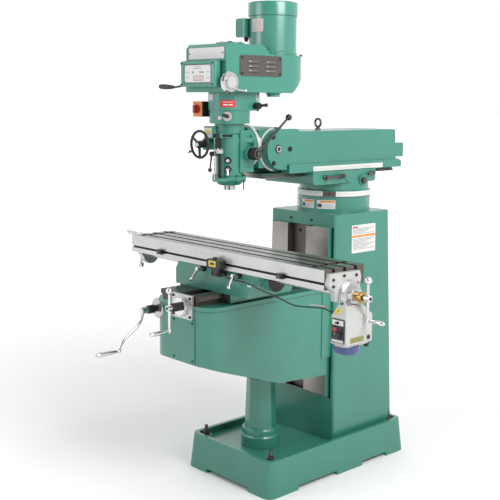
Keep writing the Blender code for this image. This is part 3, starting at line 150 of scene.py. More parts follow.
def finish(name, colour, roughness, metallic=0.0, **look):
    """A finish with mottled colour, uneven gloss and a fine surface.

    look: spread (colour variation), patch (its scale), grain (fine scale), stretch (brush direction),
    bump (strength), depth (bump distance), soil (a colour rubbed in), soiled (its share), coat.
    """
    graph = Graph(name)
    spread = look.get("spread", 0.1)
    stretch = look.get("stretch", (1.0, 1.0, 1.0))
    broad = graph.noise(look.get("patch", 7.0), 5.0)
    fine = graph.noise(look.get("grain", 180.0), 3.0, stretch)
    tone = graph.mix(
        graph.span(broad, 0.3, 0.7, 0.0, 1.0), shade(colour, 1 - spread), shade(colour, 1 + spread),
    )
    streaks = graph.span(fine, 0.25, 0.75, 0.0, look.get("streak", 0.25))
    tone = graph.mix(streaks, tone, shade(colour, 0.72))
    if "soil" in look:
        rub = graph.noise(look.get("soil_scale", 16.0), 8.0, roughness=0.7)
        share = graph.span(rub, 0.5, 0.8, 0.0, look.get("soiled", 0.5))
        tone = graph.mix(share, tone, look["soil"])
    graph.links.new(tone, graph.shader.inputs["Base Color"])
    half = look.get("uneven", 0.06)
    gloss = graph.span(broad, 0.25, 0.75, max(0.03, roughness - half), min(1.0, roughness + half))
    graph.links.new(gloss, graph.shader.inputs["Roughness"])
    graph.shader.inputs["Metallic"].default_value = metallic
    graph.shader.inputs["Coat Weight"].default_value = look.get("coat", 0.0)
    graph.shader.inputs["Coat Roughness"].default_value = 0.18
    graph.bump(fine, look.get("bump", 0.08), look.get("depth", 0.0008))
    return graph.material


def printed(name, colour, roughness, spread):
    """Ink or film on a label."""
    return finish(name, colour, roughness, spread=spread, grain=300.0, bump=0.03)


ALONG_X = (0.02, 1.0, 1.0)
ALONG_Y = (1.0, 0.02, 1.0)
ALONG_Z = (1.0, 1.0, 0.02)

CAST_GREEN = finish(
    "green_enamel_cast", (0.03, 0.19, 0.14), 0.34, spread=0.06, patch=3.0, grain=95.0, bump=0.1,
    depth=0.0012, coat=0.45, soil=(0.012, 0.085, 0.064), soiled=0.25, soil_scale=5.0, streak=0.1,
)
# Painted shade: the dark green of the thin strip under the knee's deck.
SHADE_GREEN = finish(
    "painted_shade_green", (0.012, 0.085, 0.064), 0.45, spread=0.08, patch=3.0, grain=140.0, bump=0.1,
)
SHEET_GREEN = finish(
    "green_enamel_sheet", (0.034, 0.2, 0.15), 0.28, spread=0.04, patch=3.0, grain=240.0, bump=0.05,
    coat=0.5, streak=0.06,
)
WAY_STEEL = finish(
    "ground_way_steel", (0.36, 0.335, 0.315), 0.28, 0.9, grain=260.0, stretch=ALONG_Z, spread=0.18,
    bump=0.12, streak=0.5, uneven=0.1,
)
TABLE_STEEL = finish(
    "ground_table_steel", (0.56, 0.56, 0.565), 0.3, 0.6, grain=300.0, stretch=ALONG_X, spread=0.08,
    bump=0.08, streak=0.25, uneven=0.08,
)
TABLE_TOP_STEEL = finish(
    "scraped_table_top", (0.2, 0.225, 0.195), 0.24, 0.85, grain=280.0, stretch=ALONG_X, spread=0.22,
    bump=0.1, streak=0.45, uneven=0.1, soil=(0.08, 0.075, 0.065), soiled=0.5,
)
TABLE_END_IRON = finish(
    "oiled_cast_end", (0.12, 0.1, 0.085), 0.42, 0.6, grain=160.0, spread=0.25, bump=0.25, streak=0.4,
)
OILED_IRON = finish(
    "oiled_slideway", (0.075, 0.058, 0.05), 0.3, 0.7, grain=220.0, stretch=ALONG_Y, spread=0.3,
    bump=0.15, streak=0.5, soil=(0.16, 0.13, 0.11), soiled=0.6,
)
SLOT_IRON = finish(
    "dark_slot_iron", (0.035, 0.03, 0.027), 0.48, 0.5, grain=200.0, stretch=ALONG_X, spread=0.3, bump=0.15,
)
GROUND_STEEL = finish(
    "ground_steel", (0.56, 0.555, 0.545), 0.27, 0.9, grain=240.0, stretch=(1.0, 1.0, 0.15), spread=0.1,
    bump=0.07, streak=0.3,
)
DARK_STEEL = finish(
    "dark_oiled_steel", (0.12, 0.105, 0.098), 0.38, 0.8, grain=200.0, spread=0.2, bump=0.12, streak=0.4,
    soil=(0.26, 0.235, 0.215), soiled=0.4,
)
BLACK_OXIDE = finish(
    "black_oxide", (0.028, 0.026, 0.027), 0.34, 0.6, grain=260.0, spread=0.2, bump=0.1,
    soil=(0.12, 0.11, 0.105), soiled=0.3, soil_scale=40.0,
)
BLACK_PLASTIC = finish(
    "black_moulded", (0.014, 0.014, 0.015), 0.38, grain=420.0, spread=0.15, bump=0.16, depth=0.0004,
)
CHROME = finish(
    "chrome_plate", (0.64, 0.645, 0.655), 0.09, 1.0, grain=60.0, spread=0.03, bump=0.02, streak=0.04,
    uneven=0.04,
)
SATIN_SILVER = finish(
    "satin_silver", (0.52, 0.52, 0.52), 0.26, 0.85, grain=320.0, spread=0.07, bump=0.06, streak=0.2,
)
WHITE_PAINT = finish(
    "off_white_enamel", (0.39, 0.398, 0.39), 0.34, spread=0.03, grain=220.0, bump=0.07, streak=0.05,
    coat=0.3, soil=(0.36, 0.36, 0.345), soiled=0.15,
)
LABEL_WHITE = finish(
    "label_film", (0.6, 0.598, 0.59), 0.38, spread=0.03, grain=300.0, bump=0.03, streak=0.05,
)
LABEL_GREY = printed("label_grey_print", (0.27, 0.275, 0.29), 0.42, 0.1)
LABEL_ORANGE = printed("label_orange_print", (0.6, 0.23, 0.04), 0.4, 0.05)
LABEL_YELLOW = printed("label_yellow_print", (0.62, 0.47, 0.04), 0.4, 0.05)
LABEL_OLIVE = printed("label_olive_print", (0.27, 0.26, 0.06), 0.42, 0.1)
LABEL_RED = printed("label_red_print", (0.56, 0.02, 0.035), 0.36, 0.06)
LABEL_PINK = printed("label_pink_print", (0.56, 0.44, 0.45), 0.4, 0.05)
INK = printed("printed_ink", (0.04, 0.042, 0.05), 0.45, 0.15)
PLATE_GREY = finish(
    "grey_sheet", (0.085, 0.076, 0.07), 0.42, 0.35, grain=240.0, spread=0.12, bump=0.12, streak=0.3,
)
LOUVRE_LIP = finish("louvre_lip", (0.15, 0.135, 0.125), 0.36, 0.4, grain=240.0, spread=0.15, bump=0.1)
ORANGE_PLASTIC = finish(
    "orange_moulded", (0.64, 0.185, 0.045), 0.42, grain=380.0, spread=0.06, bump=0.12, depth=0.0004,
)
RED_PLASTIC = finish(
    "red_moulded", (0.33, 0.016, 0.012), 0.3, grain=380.0, spread=0.1, bump=0.1, depth=0.0004, coat=0.3,
)
BLUE_CAST = finish(
    "blue_enamel", (0.03, 0.06, 0.165), 0.4, grain=180.0, spread=0.1, bump=0.14, coat=0.2,
)
BRASS = finish(
    "turned_brass", (0.56, 0.34, 0.11), 0.26, 0.95, grain=260.0, spread=0.1, bump=0.08, streak=0.3,
)
RUBBER = finish("black_rubber", (0.017, 0.017, 0.017), 0.62, grain=300.0, spread=0.2, bump=0.2)

# ---------------------------------------------------------------- shapes

RIGHT, BACK, UP = (1, 0, 0), (0, 1, 0), (0, 0, 1)
LEFT, FRONT, DOWN = (-1, 0, 0), (0, -1, 0), (0, 0, -1)
AXIS = {"X": Vector(RIGHT), "Y": Vector(BACK), "Z": Vector(UP)}


def on_plane(axis, level, u, v):
    """The point (u, v) of the plane at level along axis: (y, z) for X, (x, z) for Y, (x, y) for Z."""
    if axis == "X":
        return Vector((level, u, v))
    if axis == "Y":
        return Vector((u, level, v))
    return Vector((u, v, level))


def grid(axis, level, us, vs):
    """Points in rows and columns on the plane at level along axis."""
    return [on_plane(axis, level, u, v) for u in us for v in vs]


def spoke(axis, degrees):
    """The direction outward at an angle round an axis, and the direction along the rim there."""
    turn = math.radians(degrees)
    out = on_plane(axis, 0.0, math.cos(turn), math.sin(turn))
    rim = on_plane(axis, 0.0, -math.sin(turn), math.cos(turn))
    return out, rim


def polar(centre, radius, degrees):
    angle = math.radians(degrees)
    return centre[0] + radius * math.cos(angle), centre[1] + radius * math.sin(angle)


def arc(centre, radius, start, end, steps):
    """Points on an arc, angles in degrees, both ends included."""
    return [polar(centre, radius, start + (end - start) * step / steps) for step in range(steps + 1)]


def plate_rings(inner, outer, low, high, axis):
    """Square sections between two outlines of equal length, from low to high along an axis."""
    rings = []
    for near, far in zip(inner, outer):
        corners = ((low, near), (low, far), (high, far), (high, near))
        rings.append([on_plane(axis, level, *point) for level, point in corners])
    return rings


def rounded(u_low, u_high, v_low, v_high, radius, steps=6):
    """A rectangle with round corners."""
    corners = [
        (u_high - radius, v_low + radius, 270),
        (u_high - radius, v_high - radius, 0),
        (u_low + radius, v_high - radius, 90),
        (u_low + radius, v_low + radius, 180),
    ]
    outline = []
    for u, v, start in corners:
        outline += arc((u, v), radius, start, start + 90, steps)
    return outline


def around(direction, count):
    """A direction as a unit vector, and unit vectors evenly spaced round it."""
    direction = Vector(direction).normalized()
    first = direction.orthogonal().normalized()
    second = direction.cross(first)
    outs = []
    for step in range(count):
        angle = 2 * math.pi * step / count
        outs.append(math.cos(angle) * first + math.sin(angle) * second)
    return direction, outs


class Shape:
    """A mesh under construction; use() picks the material that the next faces get."""

    def __init__(self):
        self.bm = bmesh.new()
        self.index = 0

    def use(self, index):
        self.index = index
        return self

    def face(self, verts):
        made = self.bm.faces.new(verts)
        made.material_index = self.index

    def skin(self, rings, closed=False):
        """A closed body over rings of equal point count, capped unless it closes on itself."""
        loops = [[self.bm.verts.new(point) for point in ring] for ring in rings]
        pairs = list(zip(loops, loops[1:]))
        if closed:
            pairs.append((loops[-1], loops[0]))
        else:
            self.face(loops[0])
            self.face(loops[-1])
        for lower, upper in pairs:
            for index in range(len(lower)):
                following = (index + 1) % len(lower)
                self.face((lower[index], lower[following], upper[following], upper[index]))
        return self

    def loft(self, axis, sections):
        rings = [[on_plane(axis, level, u, v) for u, v in outline] for level, outline in sections]
        return self.skin(rings)

    def prism(self, axis, outline, low, high):
        return self.loft(axis, [(low, outline), (high, outline)])

    def box(self, x_low, x_high, y_low, y_high, z_low, z_high):
        outline = [(x_low, y_low), (x_high, y_low), (x_high, y_high), (x_low, y_high)]
        return self.prism("Z", outline, z_low, z_high)

    def lathe(self, origin, direction, profile, segments=64):
        """A turned body along direction from origin: profile holds (distance along, radius)."""
        direction, outs = around(direction, segments)
        rings = []
        for along, radius in profile:
            centre = Vector(origin) + direction * along
            rings.append([centre + radius * out for out in outs])
        return self.skin(rings)

    def turned(self, axis, centre, profile, segments=64):
        """A turned body on one of the frame's axes: profile holds (place along axis, radius)."""
        return self.lathe(on_plane(axis, 0.0, *centre), AXIS[axis], profile, segments)

    def knurled(self, axis, centre, profile, steps, depth, is_cut):
        """A turned body with grooves along it, depth deep wherever is_cut(step, radius) holds."""
        rings = []
        for along, radius in profile:
            ring = []
            for step in range(steps):
                reach = radius - depth if is_cut(step, radius) else radius
                ring.append(on_plane(axis, along, *polar(centre, reach, 360 * step / steps)))
            rings.append(ring)
        return self.skin(rings)

    def washer(self, origin, direction, inner, outer, low, high, segments=64):
        """A flat ring with a hole, round direction."""
        direction, outs = around(direction, segments)
        base = Vector(origin)
        corners = ((inner, low), (outer, low), (outer, high), (inner, high))
        rings = []
        for out in outs:
            rings.append([base + out * radius + direction * along for radius, along in corners])
        return self.skin(rings, closed=True)

    def band(self, centre, radius, thickness, z_low, z_high, start, end, steps=40):
        """A strip wrapped round an upright cylinder, angles in degrees from +X."""
        inner = arc(centre, radius, start, end, steps)
        outer = arc(centre, radius + thickness, start, end, steps)
        return self.skin(plate_rings(inner, outer, z_low, z_high, "Z"))

    def swept(self, path, radii, sides=24):
        """A round bar along a path, with a radius at each point."""
        points = [Vector(point) for point in path]
        rings = []
        across = None
        for index, point in enumerate(points):
            ahead = points[min(index + 1, len(points) - 1)]
            behind = points[max(index - 1, 0)]
            along = (ahead - behind).normalized()
            if across is None:
                across = along.orthogonal().normalized()
            across = (across - along * across.dot(along)).normalized()
            other = along.cross(across)
            ring = []
            for side in range(sides):
                angle = 2 * math.pi * side / sides
                ring.append(point + radii[index] * (math.cos(angle) * across + math.sin(angle) * other))
            rings.append(ring)
        return self.skin(rings)

    def bar(self, start, end, radius, sides=24):
        return self.swept([start, end], [radius, radius], sides)

    def torus(self, centre, normal, ring_radius, tube_radius, segments=72, sides=16):
        """A round bar bent into a ring; normal is the ring's axis."""
        normal, outs = around(normal, segments)
        rings = []
        for outward in outs:
            ring = []
            for side in range(sides):
                roll = 2 * math.pi * side / sides
                offset = outward * (ring_radius + tube_radius * math.cos(roll))
                ring.append(Vector(centre) + offset + normal * tube_radius * math.sin(roll))
            rings.append(ring)
        return self.skin(rings, closed=True)

    def ball(self, centre, radius):
        place = Matrix.Translation(centre)
        made = bmesh.ops.create_uvsphere(self.bm, u_segments=32, v_segments=20, radius=radius, matrix=place)
        for vert in made["verts"]:
            for face in vert.link_faces:
                face.material_index = self.index
        return self

    def slab(self, centre, across, up, width, height, thickness, corner=0.0015):
        """A thin plate with round corners, standing off centre along across x up."""
        across, up = Vector(across).normalized(), Vector(up).normalized()
        normal = across.cross(up)
        outline = rounded(-width / 2, width / 2, -height / 2, height / 2, corner, 4)
        rings = []
        for level in (0.0, thickness):
            rings.append([Vector(centre) + across * u + up * v + normal * level for u, v in outline])
        return self.skin(rings)

    def front_slab(self, centre, width, height, thickness, corner=0.0015):
        """A slab that faces the operator."""
        return self.slab(centre, RIGHT, UP, width, height, thickness, corner)

    def hex_bolt(self, at, out, size):
        """A hexagon bolt head on its washer; size is the head's radius."""
        self.lathe(at, out, [(0.0, size * 1.25), (size * 0.16, size * 1.25), (size * 0.2, size * 1.15)], 32)
        base = size * 0.2
        self.lathe(at, out, [(base, size), (base + size * 0.55, size), (base + size * 0.68, size * 0.86)], 6)
        return self

    def socket_screw(self, at, out, size):
        """A round-headed screw with a hexagon socket; size is the head's radius."""
        out = Vector(out).normalized()
        self.lathe(
            at, out,
            [(0.0, size), (size * 0.45, size), (size * 0.62, size * 0.82), (size * 0.62, size * 0.5)], 28,
        )
        rim = Vector(at) + out * size * 0.6
        self.washer(rim, out, size * 0.46, size * 0.7, 0.0, size * 0.1, 6)
        return self

    def screws(self, spots, out, size):
        for spot in spots:
            self.socket_screw(spot, out, size)
        return self

    def piece(self, name, body, materials, slot=None, bevel=0.0, angle=34, stands_for=None):
        """Turn the mesh into a named piece that rides on a CAD body and may stand for a CAD node."""
        bmesh.ops.recalc_face_normals(self.bm, faces=self.bm.faces)
        mesh = bpy.data.meshes.new(name)
        self.bm.to_mesh(mesh)
        self.bm.free()
        for material in materials if isinstance(materials, (list, tuple)) else [materials]:
            mesh.materials.append(material)
        mesh.shade_smooth()
        mesh.set_sharp_from_angle(angle=math.radians(angle))
        made = bpy.data.objects.new(name, mesh)
        bpy.context.scene.collection.objects.link(made)
        if bevel:
            soften(made, bevel)
        if body:
            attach(made, body)
        if stands_for:
            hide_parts(stands_for)
        return made


def soften(target, width, weld=False):
    """Round the sharp edges of a piece by a small radius."""
    if weld:
        merge = target.modifiers.new("merge", "WELD")
        merge.merge_threshold = 0.00002
    modifier = target.modifiers.new("edges", "BEVEL")
    modifier.width = width
    modifier.segments = 2
    modifier.limit_method = "ANGLE"
    modifier.angle_limit = math.radians(38)
    modifier.harden_normals = True


# ---------------------------------------------------------------- cord


def smooth_route(knots, spacing):
    """Points a given spacing apart on a smooth curve through the knots (Catmull-Rom)."""
    points = [Vector(knot) for knot in knots]
    points = [points[0] * 2 - points[1]] + points + [points[-1] * 2 - points[-2]]
    fine = []
    for index in range(1, len(points) - 2):
        before, start, end, after = points[index - 1 : index + 3]
        for step in range(40):
            t = step / 40
            bend = (2 * before - 5 * start + 4 * end - after) * t * t
            twist = (3 * start - before - 3 * end + after) * t**3
            fine.append(0.5 * (2 * start + (end - before) * t + bend + twist))
    fine.append(points[-2])
    route = [fine[0]]
    walked = 0.0
    for previous, point in zip(fine, fine[1:]):
        walked += (point - previous).length
        if walked >= spacing:
            route.append(point)
            walked = 0.0
    route[-1] = fine[-1]
    return route


CABLE_KNOTS = [
    (0.1584, -0.65, 1.03),
    (0.172, -0.65, 1.029),
    (0.187, -0.648, 1.022),
    (0.21, -0.644, 1.015),
    (0.26, -0.644, 1.015),
    (0.31, -0.646, 1.014),
    (0.352, -0.65, 1.009),
    (0.404, -0.654, 1.0),
    (0.472, -0.656, 0.991),
    (0.522, -0.654, 0.982),
    (0.562, -0.65, 0.971),
    (0.597, -0.644, 0.965),
    (0.64, -0.636, 0.967),
    (0.69, -0.626, 0.971),
    (0.726, -0.617, 0.971),
    (0.745, -0.6085, 0.9625),
    (0.755, -0.607, 0.961),
    (0.7651, -0.607, 0.961),
]
CABLE_RADIUS = 0.0028


def make_cord():
    """The limit switch's lead: held by the saddle at one end and by the power feed at the other."""
    route = smooth_route(CABLE_KNOTS, 0.006)
    cable = Shape().swept(route, [CABLE_RADIUS] * len(route), 16)
    cable = cable.piece("switch_lead", None, RUBBER, "rubber")
    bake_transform(cable)
    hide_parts("limit_switch_cable")
    relief = Shape()
    relief.lathe(
        CABLE_KNOTS[0], (1, 0, -0.05), [(0.0, 0.0058), (0.004, 0.0058), (0.006, 0.005), (0.026, 0.0036)],
        24,
    )
    first = relief.piece("lead_relief_switch", "saddle", BLACK_PLASTIC, "black_plastic")
    relief = Shape()
    relief.lathe(
        (0.7652, -0.607, 0.961), LEFT, [(0.0, 0.0062), (0.004, 0.0062), (0.006, 0.0052), (0.022, 0.0036)],
        24,
    )
    second = relief.piece("lead_relief_feed", "table", BLACK_PLASTIC, "black_plastic")
    sleeve = Shape()
    path = [(0.655, -0.6275, 0.9775), (0.68, -0.6235, 0.98), (0.705, -0.619, 0.98), (0.722, -0.615, 0.979)]
    sleeve.swept(path, [0.0022, 0.0026, 0.0026, 0.0026], 16)
    sleeve.use(1).swept([(0.722, -0.615, 0.979), (0.732, -0.6125, 0.9785)], [0.0034, 0.0034], 16)
    sleeve = sleeve.piece("lead_sleeve", None, [WHITE_PAINT, BRASS], "white_aluminium")
    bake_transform(sleeve)


make_cord()

# ---------------------------------------------------------------- finishes of the CAD nodes


def paint(node, base, regions=(), bevel=0.0):
    """Give a CAD node its finish.

    regions holds (material, test), and test reads a face's centre and normal.
    """
    target = NODES[node]
    target.data.materials.clear()
    for material in [base] + [material for material, _ in regions]:
        target.data.materials.append(material)
    for polygon in target.data.polygons:
        polygon.material_index = 0
        for index, (_, test) in enumerate(regions, 1):
            if test(polygon.center, polygon.normal):
                polygon.material_index = index
    if bevel:
        soften(target, bevel, weld=True)


def on_knee_way(p, n):
    return p.z > 0.8962 and abs(p.x) < 0.1345


def in_screw_trough(p, n):
    return p.z < 0.9365 and abs(p.x - CROSS[0]) < 0.0345 and p.z > 0.8685 and n.z > -0.5


def on_column_way(p, n):
    return p.y < -0.015 and n.y < -0.9


def in_column_recess(p, n):
    return abs(p.x) < 0.083 and -0.02 < p.y < 0.021 and 0.355 < p.z < 1.178


def in_table_slot(p, n):
    return p.z < 1.1245 and -0.632 < p.y < -0.419 and p.z > 1.0965 and abs(n.x) < 0.9


def in_stop_groove(p, n):
    return p.y < -0.6295 and 1.0665 < p.z < 1.0775 and p.y > -0.6399


def on_table_end(p, n):
    return abs(n.x) > 0.9 and abs(p.x + 0.504) + abs(p.x - 0.74) < 1.2445


def on_table_top(p, n):
    return p.z > 1.1245


def beside_table_slots(p, n):
    return 1.1 < p.z < 1.1245 and abs(n.x) > 0.9


def on_ram_dovetail(p, n):
    return p.z < 1.434 and abs(p.x) < 0.1115


def on_switch_front(p, n):
    return n.y < -0.8


def on_feed_ring(p, n):
    return p.x > 0.765 and math.hypot(p.y - LEAD[0], p.z - LEAD[1]) < 0.0585 and p.z > 0.966


def make_finishes():
    paint("base", CAST_GREEN, bevel=0.004)
    ways = [(WAY_STEEL, on_column_way), (DARK_STEEL, in_column_recess)]
    paint("column", CAST_GREEN, ways, bevel=0.003)
    paint("screw_pedestal", CAST_GREEN, bevel=0.0015)
    paint("elevating_nut", BRASS)
    paint("turret", CAST_GREEN, bevel=0.0015)
    dovetail = [(WAY_STEEL, on_ram_dovetail)]
    paint("ram", CAST_GREEN, dovetail, bevel=0.002)
    for node in ("ram_adapter", "quill_housing", "gear_housing"):
        paint(node, CAST_GREEN, bevel=0.0015)
    for node in ("belt_housing", "speed_panel", "junction_box"):
        paint(node, SHEET_GREEN, bevel=0.0015)
    paint("knee_cover", CAST_GREEN, bevel=0.001)
    ways = [(OILED_IRON, on_knee_way), (DARK_STEEL, in_screw_trough)]
    paint("knee", CAST_GREEN, ways, bevel=0.002)
    paint("saddle", CAST_GREEN, bevel=0.002)
    tops = [
        (SLOT_IRON, in_table_slot),
        (SLOT_IRON, in_stop_groove),
        (TABLE_END_IRON, on_table_end),
        (TABLE_TOP_STEEL, on_table_top),
        (TABLE_END_IRON, beside_table_slots),
    ]
    paint("table", TABLE_STEEL, tops)
    paint("table_end_bracket", SATIN_SILVER, bevel=0.0015)
    paint("cross_feed_flange", SATIN_SILVER, bevel=0.001)
    ring = [(SATIN_SILVER, on_feed_ring)]
    paint("power_feed_housing", WHITE_PAINT, ring, bevel=0.0015)
    for node in ("quill", "spindle", "spindle_nose", "elevating_screw", "lead_screw"):
        paint(node, GROUND_STEEL)
    for node in ("spindle_pulley", "motor_pulley", "drawbar", "cross_feed_screw", "ram_pinion_shaft"):
        paint(node, DARK_STEEL)
    paint("drive_belt", RUBBER)
    box_faces = [(ORANGE_PLASTIC, on_switch_front)]
    paint("switch_box", BLACK_PLASTIC, box_faces, bevel=0.001)
    paint("switch_knob", RED_PLASTIC, bevel=0.0012)
    paint("louvre_plate", PLATE_GREY, bevel=0.0006)
    paint("stop_dog_left", BLACK_OXIDE, bevel=0.001)
    paint("stop_dog_right", BLACK_OXIDE, bevel=0.001)
    paint("limit_switch", BLACK_PLASTIC, bevel=0.001)
    paint("backgear_lever", BLACK_OXIDE, bevel=0.0008)
    paint("feed_selector_knob", BLACK_PLASTIC, bevel=0.0008)


make_finishes()

# ---------------------------------------------------------------- base, column and pedestal


def make_base_details():
    bolts = Shape()
    for x in (-0.226, 0.226):
        for y in (-0.412, 0.418):
            bolts.use(0).lathe((x, y, 0.1402), UP, [(0, 0.029), (0.012, 0.029), (0.016, 0.025)], 40)
            bolts.use(1).hex_bolt((x, y, 0.156), UP, 0.0175)
            bolts.lathe((x, y, 0.169), UP, [(0, 0.0125), (0.012, 0.0125), (0.014, 0.01)], 6)
            bolts.bar((x, y, 0.17), (x, y, 0.204), 0.0078)
            for turn in range(5):
                bolts.torus((x, y, 0.186 + 0.0038 * turn), UP, 0.0077, 0.0011, 32, 6)
    bolts.piece("levelling_bolts", "stand", [CAST_GREEN, DARK_STEEL], "dark_steel")
    thread = Shape()
    for turn in range(44):
        thread.torus((0, -0.264, 0.512 + 0.006 * turn), UP, 0.0188, 0.0016, 40, 6)
    thread.piece("elevating_screw_thread", "elevating_screw", GROUND_STEEL, "ground_steel")


def column_side_x(z):
    """The column's side leans in from 0.231 at its foot to 0.211 at its top."""
    return 0.231 - 0.02 * (z - COLUMN_FOOT) / (COLUMN_TOP - COLUMN_FOOT)


def column_rear_y(z):
    """The column's back leans in from 0.435 at its foot to 0.392 at its top."""
    return 0.435 - 0.043 * (z - COLUMN_FOOT) / (COLUMN_TOP - COLUMN_FOOT)


def make_column_details():
    lean = Vector((column_side_x(1.2) - column_side_x(1.0), 0, 0.2)).normalized()
    middle = Vector((column_side_x(1.11) + 0.0004, 0.204, 1.11))
    across = Vector(BACK)
    label = Shape()
    label.slab(middle, across, lean, 0.172, 0.134, SHEET_LIFT, 0.004)
    face = middle + Vector((SHEET_LIFT, 0, 0))
    label.use(1).slab(face + lean * 0.013, across, lean, 0.17, 0.01, 0.0003)
    label.use(3).slab(face + lean * 0.0575 - across * 0.062, across, lean, 0.036, 0.007, 0.0002, 0.001)
    label.use(2)
    for row in range(17):
        up = 0.05 - 0.0062 * row
        if abs(up - 0.013) > 0.008:
            width = 0.156 - 0.022 * ((row * 5) % 4)
            spot = face + lean * up - across * (0.156 - width) / 2
            label.slab(spot, across, lean, width, 0.003, 0.0002, 0.0006)
    label.piece("column_label", "stand", [LABEL_WHITE, LABEL_ORANGE, LABEL_GREY, LABEL_RED])
    labels = Shape()
    for start, end in ((-140, -115), (-105, -79), (-74, -45)):
        labels.use(0).band(TURRET_CENTRE, TURRET_RADIUS + 0.0003, SHEET_LIFT, 1.25, 1.291, start, end, 16)
        labels.use(1).band(
            TURRET_CENTRE, TURRET_RADIUS + 0.001, 0.0002, 1.2795, 1.289, start + 5, end - 1, 16,
        )
        labels.use(2).band(
            TURRET_CENTRE, TURRET_RADIUS + 0.001, 0.0002, 1.256, 1.274, start + 1, start + 8, 6,
        )
        labels.use(3)
        for row in range(3):
            height = 1.257 + 0.0065 * row
            labels.band(
                TURRET_CENTRE, TURRET_RADIUS + 0.001, 0.0002, height, height + 0.002, start + 10, end - 2,
                12,
            )
    labels.piece("neck_labels", "stand", [LABEL_WHITE, LABEL_ORANGE, INK, LABEL_GREY])
    bolts = Shape()
    bolts.screws(grid("Y", -0.0002, (-0.075, 0.062), (1.199,)), FRONT, 0.0062)
    bolts.piece("column_front_screws", "stand", BLACK_OXIDE, "black_oxide_steel")
    strip = Shape()
    for low, high in ((0.91, 1.17), (0.362, 0.5)):
        strip.box(0.036, 0.0815, -0.012, 0.0197, low, high)
    strip.use(1).socket_screw((-0.032, 0.0197, 1.14), FRONT, 0.008)
    strip.piece("scale_strip", "stand", [WAY_STEEL, BLACK_OXIDE], "ground_steel", bevel=0.0008)
    door = Shape()
    door.prism("Y", rounded(-0.13, 0.13, 0.33, 0.76, 0.014), 0.4315, 0.4362)
    for vert in door.bm.verts:
        vert.co.y += column_rear_y(vert.co.z) - 0.4312
    door.use(1)
    for x in (-0.116, 0.116):
        for z in (0.345, 0.745):
            door.socket_screw((x, column_rear_y(z) + 0.0048, z), BACK, 0.007)
    door.piece("column_rear_cover", "stand", [SHEET_GREEN, BLACK_OXIDE], "painted_sheet", bevel=0.001)


make_base_details()
make_column_details()

# ---------------------------------------------------------------- turret and ram


def make_turret_details():
    scale = Shape()
    radius = TURRET_RADIUS + 0.0002
    scale.use(0).band(TURRET_CENTRE, radius, SHEET_LIFT, 1.3095, 1.3335, -44.5, 295.0, 120)
    scale.use(1).band(TURRET_CENTRE, radius, SHEET_LIFT * 1.4, 1.3095, 1.3335, -64.5, -45.0, 12)
    scale.use(2)
    for tick in range(-42, 294, 3):
        top = 1.33 if tick % 15 == 0 else 1.3255
        scale.band(TURRET_CENTRE, radius + SHEET_LIFT, 0.0002, 1.32, top, tick - 0.13, tick + 0.13, 1)
    scale.use(3).socket_screw((0.1029, 0.074, 1.3215), (0.576, -0.818, 0), 0.0042)
    scale.piece("turret_scale", "turret", [LABEL_WHITE, DARK_STEEL, INK, BLACK_OXIDE])
    seam = Shape()
    seam.band(TURRET_CENTRE, TURRET_RADIUS - 0.0012, 0.001, 1.3035, 1.3068, 0, 359.9, 120)
    seam.piece("turret_seam", "stand", DARK_STEEL, "dark_steel")
    levers = Shape()
    levers.turned(
        "X", (-0.022, 1.409), [(0.1623, 0.0125), (0.17, 0.0125), (0.1715, 0.0105), (0.186, 0.01)], 40,
    )
    levers.swept(
        [(0.176, -0.022, 1.409), (0.18, 0.012, 1.4103), (0.182, 0.035, 1.411), (0.182, 0.06, 1.411)],
        [0.006, 0.0055, 0.0055, 0.0068],
    )
    levers.use(1).swept(
        [
            (0.182, 0.052, 1.411), (0.182, 0.057, 1.411), (0.182, 0.075, 1.411), (0.182, 0.09, 1.411),
            (0.182, 0.096, 1.411),
        ],
        [0.007, 0.0092, 0.0116, 0.0105, 0.006],
    )
    levers.piece(
        "ram_lock_front", "ram_lock_lever_front", [DARK_STEEL, BLACK_PLASTIC], "dark_steel",
        stands_for="ram_lock_lever_front",
    )
    levers = Shape()
    levers.turned(
        "X", (0.31, 1.416), [(0.1623, 0.0112), (0.17, 0.0112), (0.1715, 0.009), (0.182, 0.0085)], 40,
    )
    levers.swept(
        [(0.176, 0.31, 1.416), (0.18, 0.292, 1.413), (0.18, 0.266, 1.412)], [0.0052, 0.0048, 0.0062],
    )
    levers.piece(
        "ram_lock_rear", "ram_lock_lever_rear", DARK_STEEL, "dark_steel", stands_for="ram_lock_lever_rear",
    )
    bolts = Shape()
    bolts.screws(grid("X", -0.1622, (-0.07, 0.06, 0.17), (1.404,)), LEFT, 0.0062)
    bolts.piece("turret_gib_screws", "turret", BLACK_OXIDE, "black_oxide_steel")
    collar = Shape()
    collar.washer((0.1716, 0.237, 1.383), RIGHT, 0.0165, 0.0245, 0.0, 0.0022)
    collar.piece("ram_pinion_ring", "turret", CAST_GREEN, "painted_casting", bevel=0.0005)


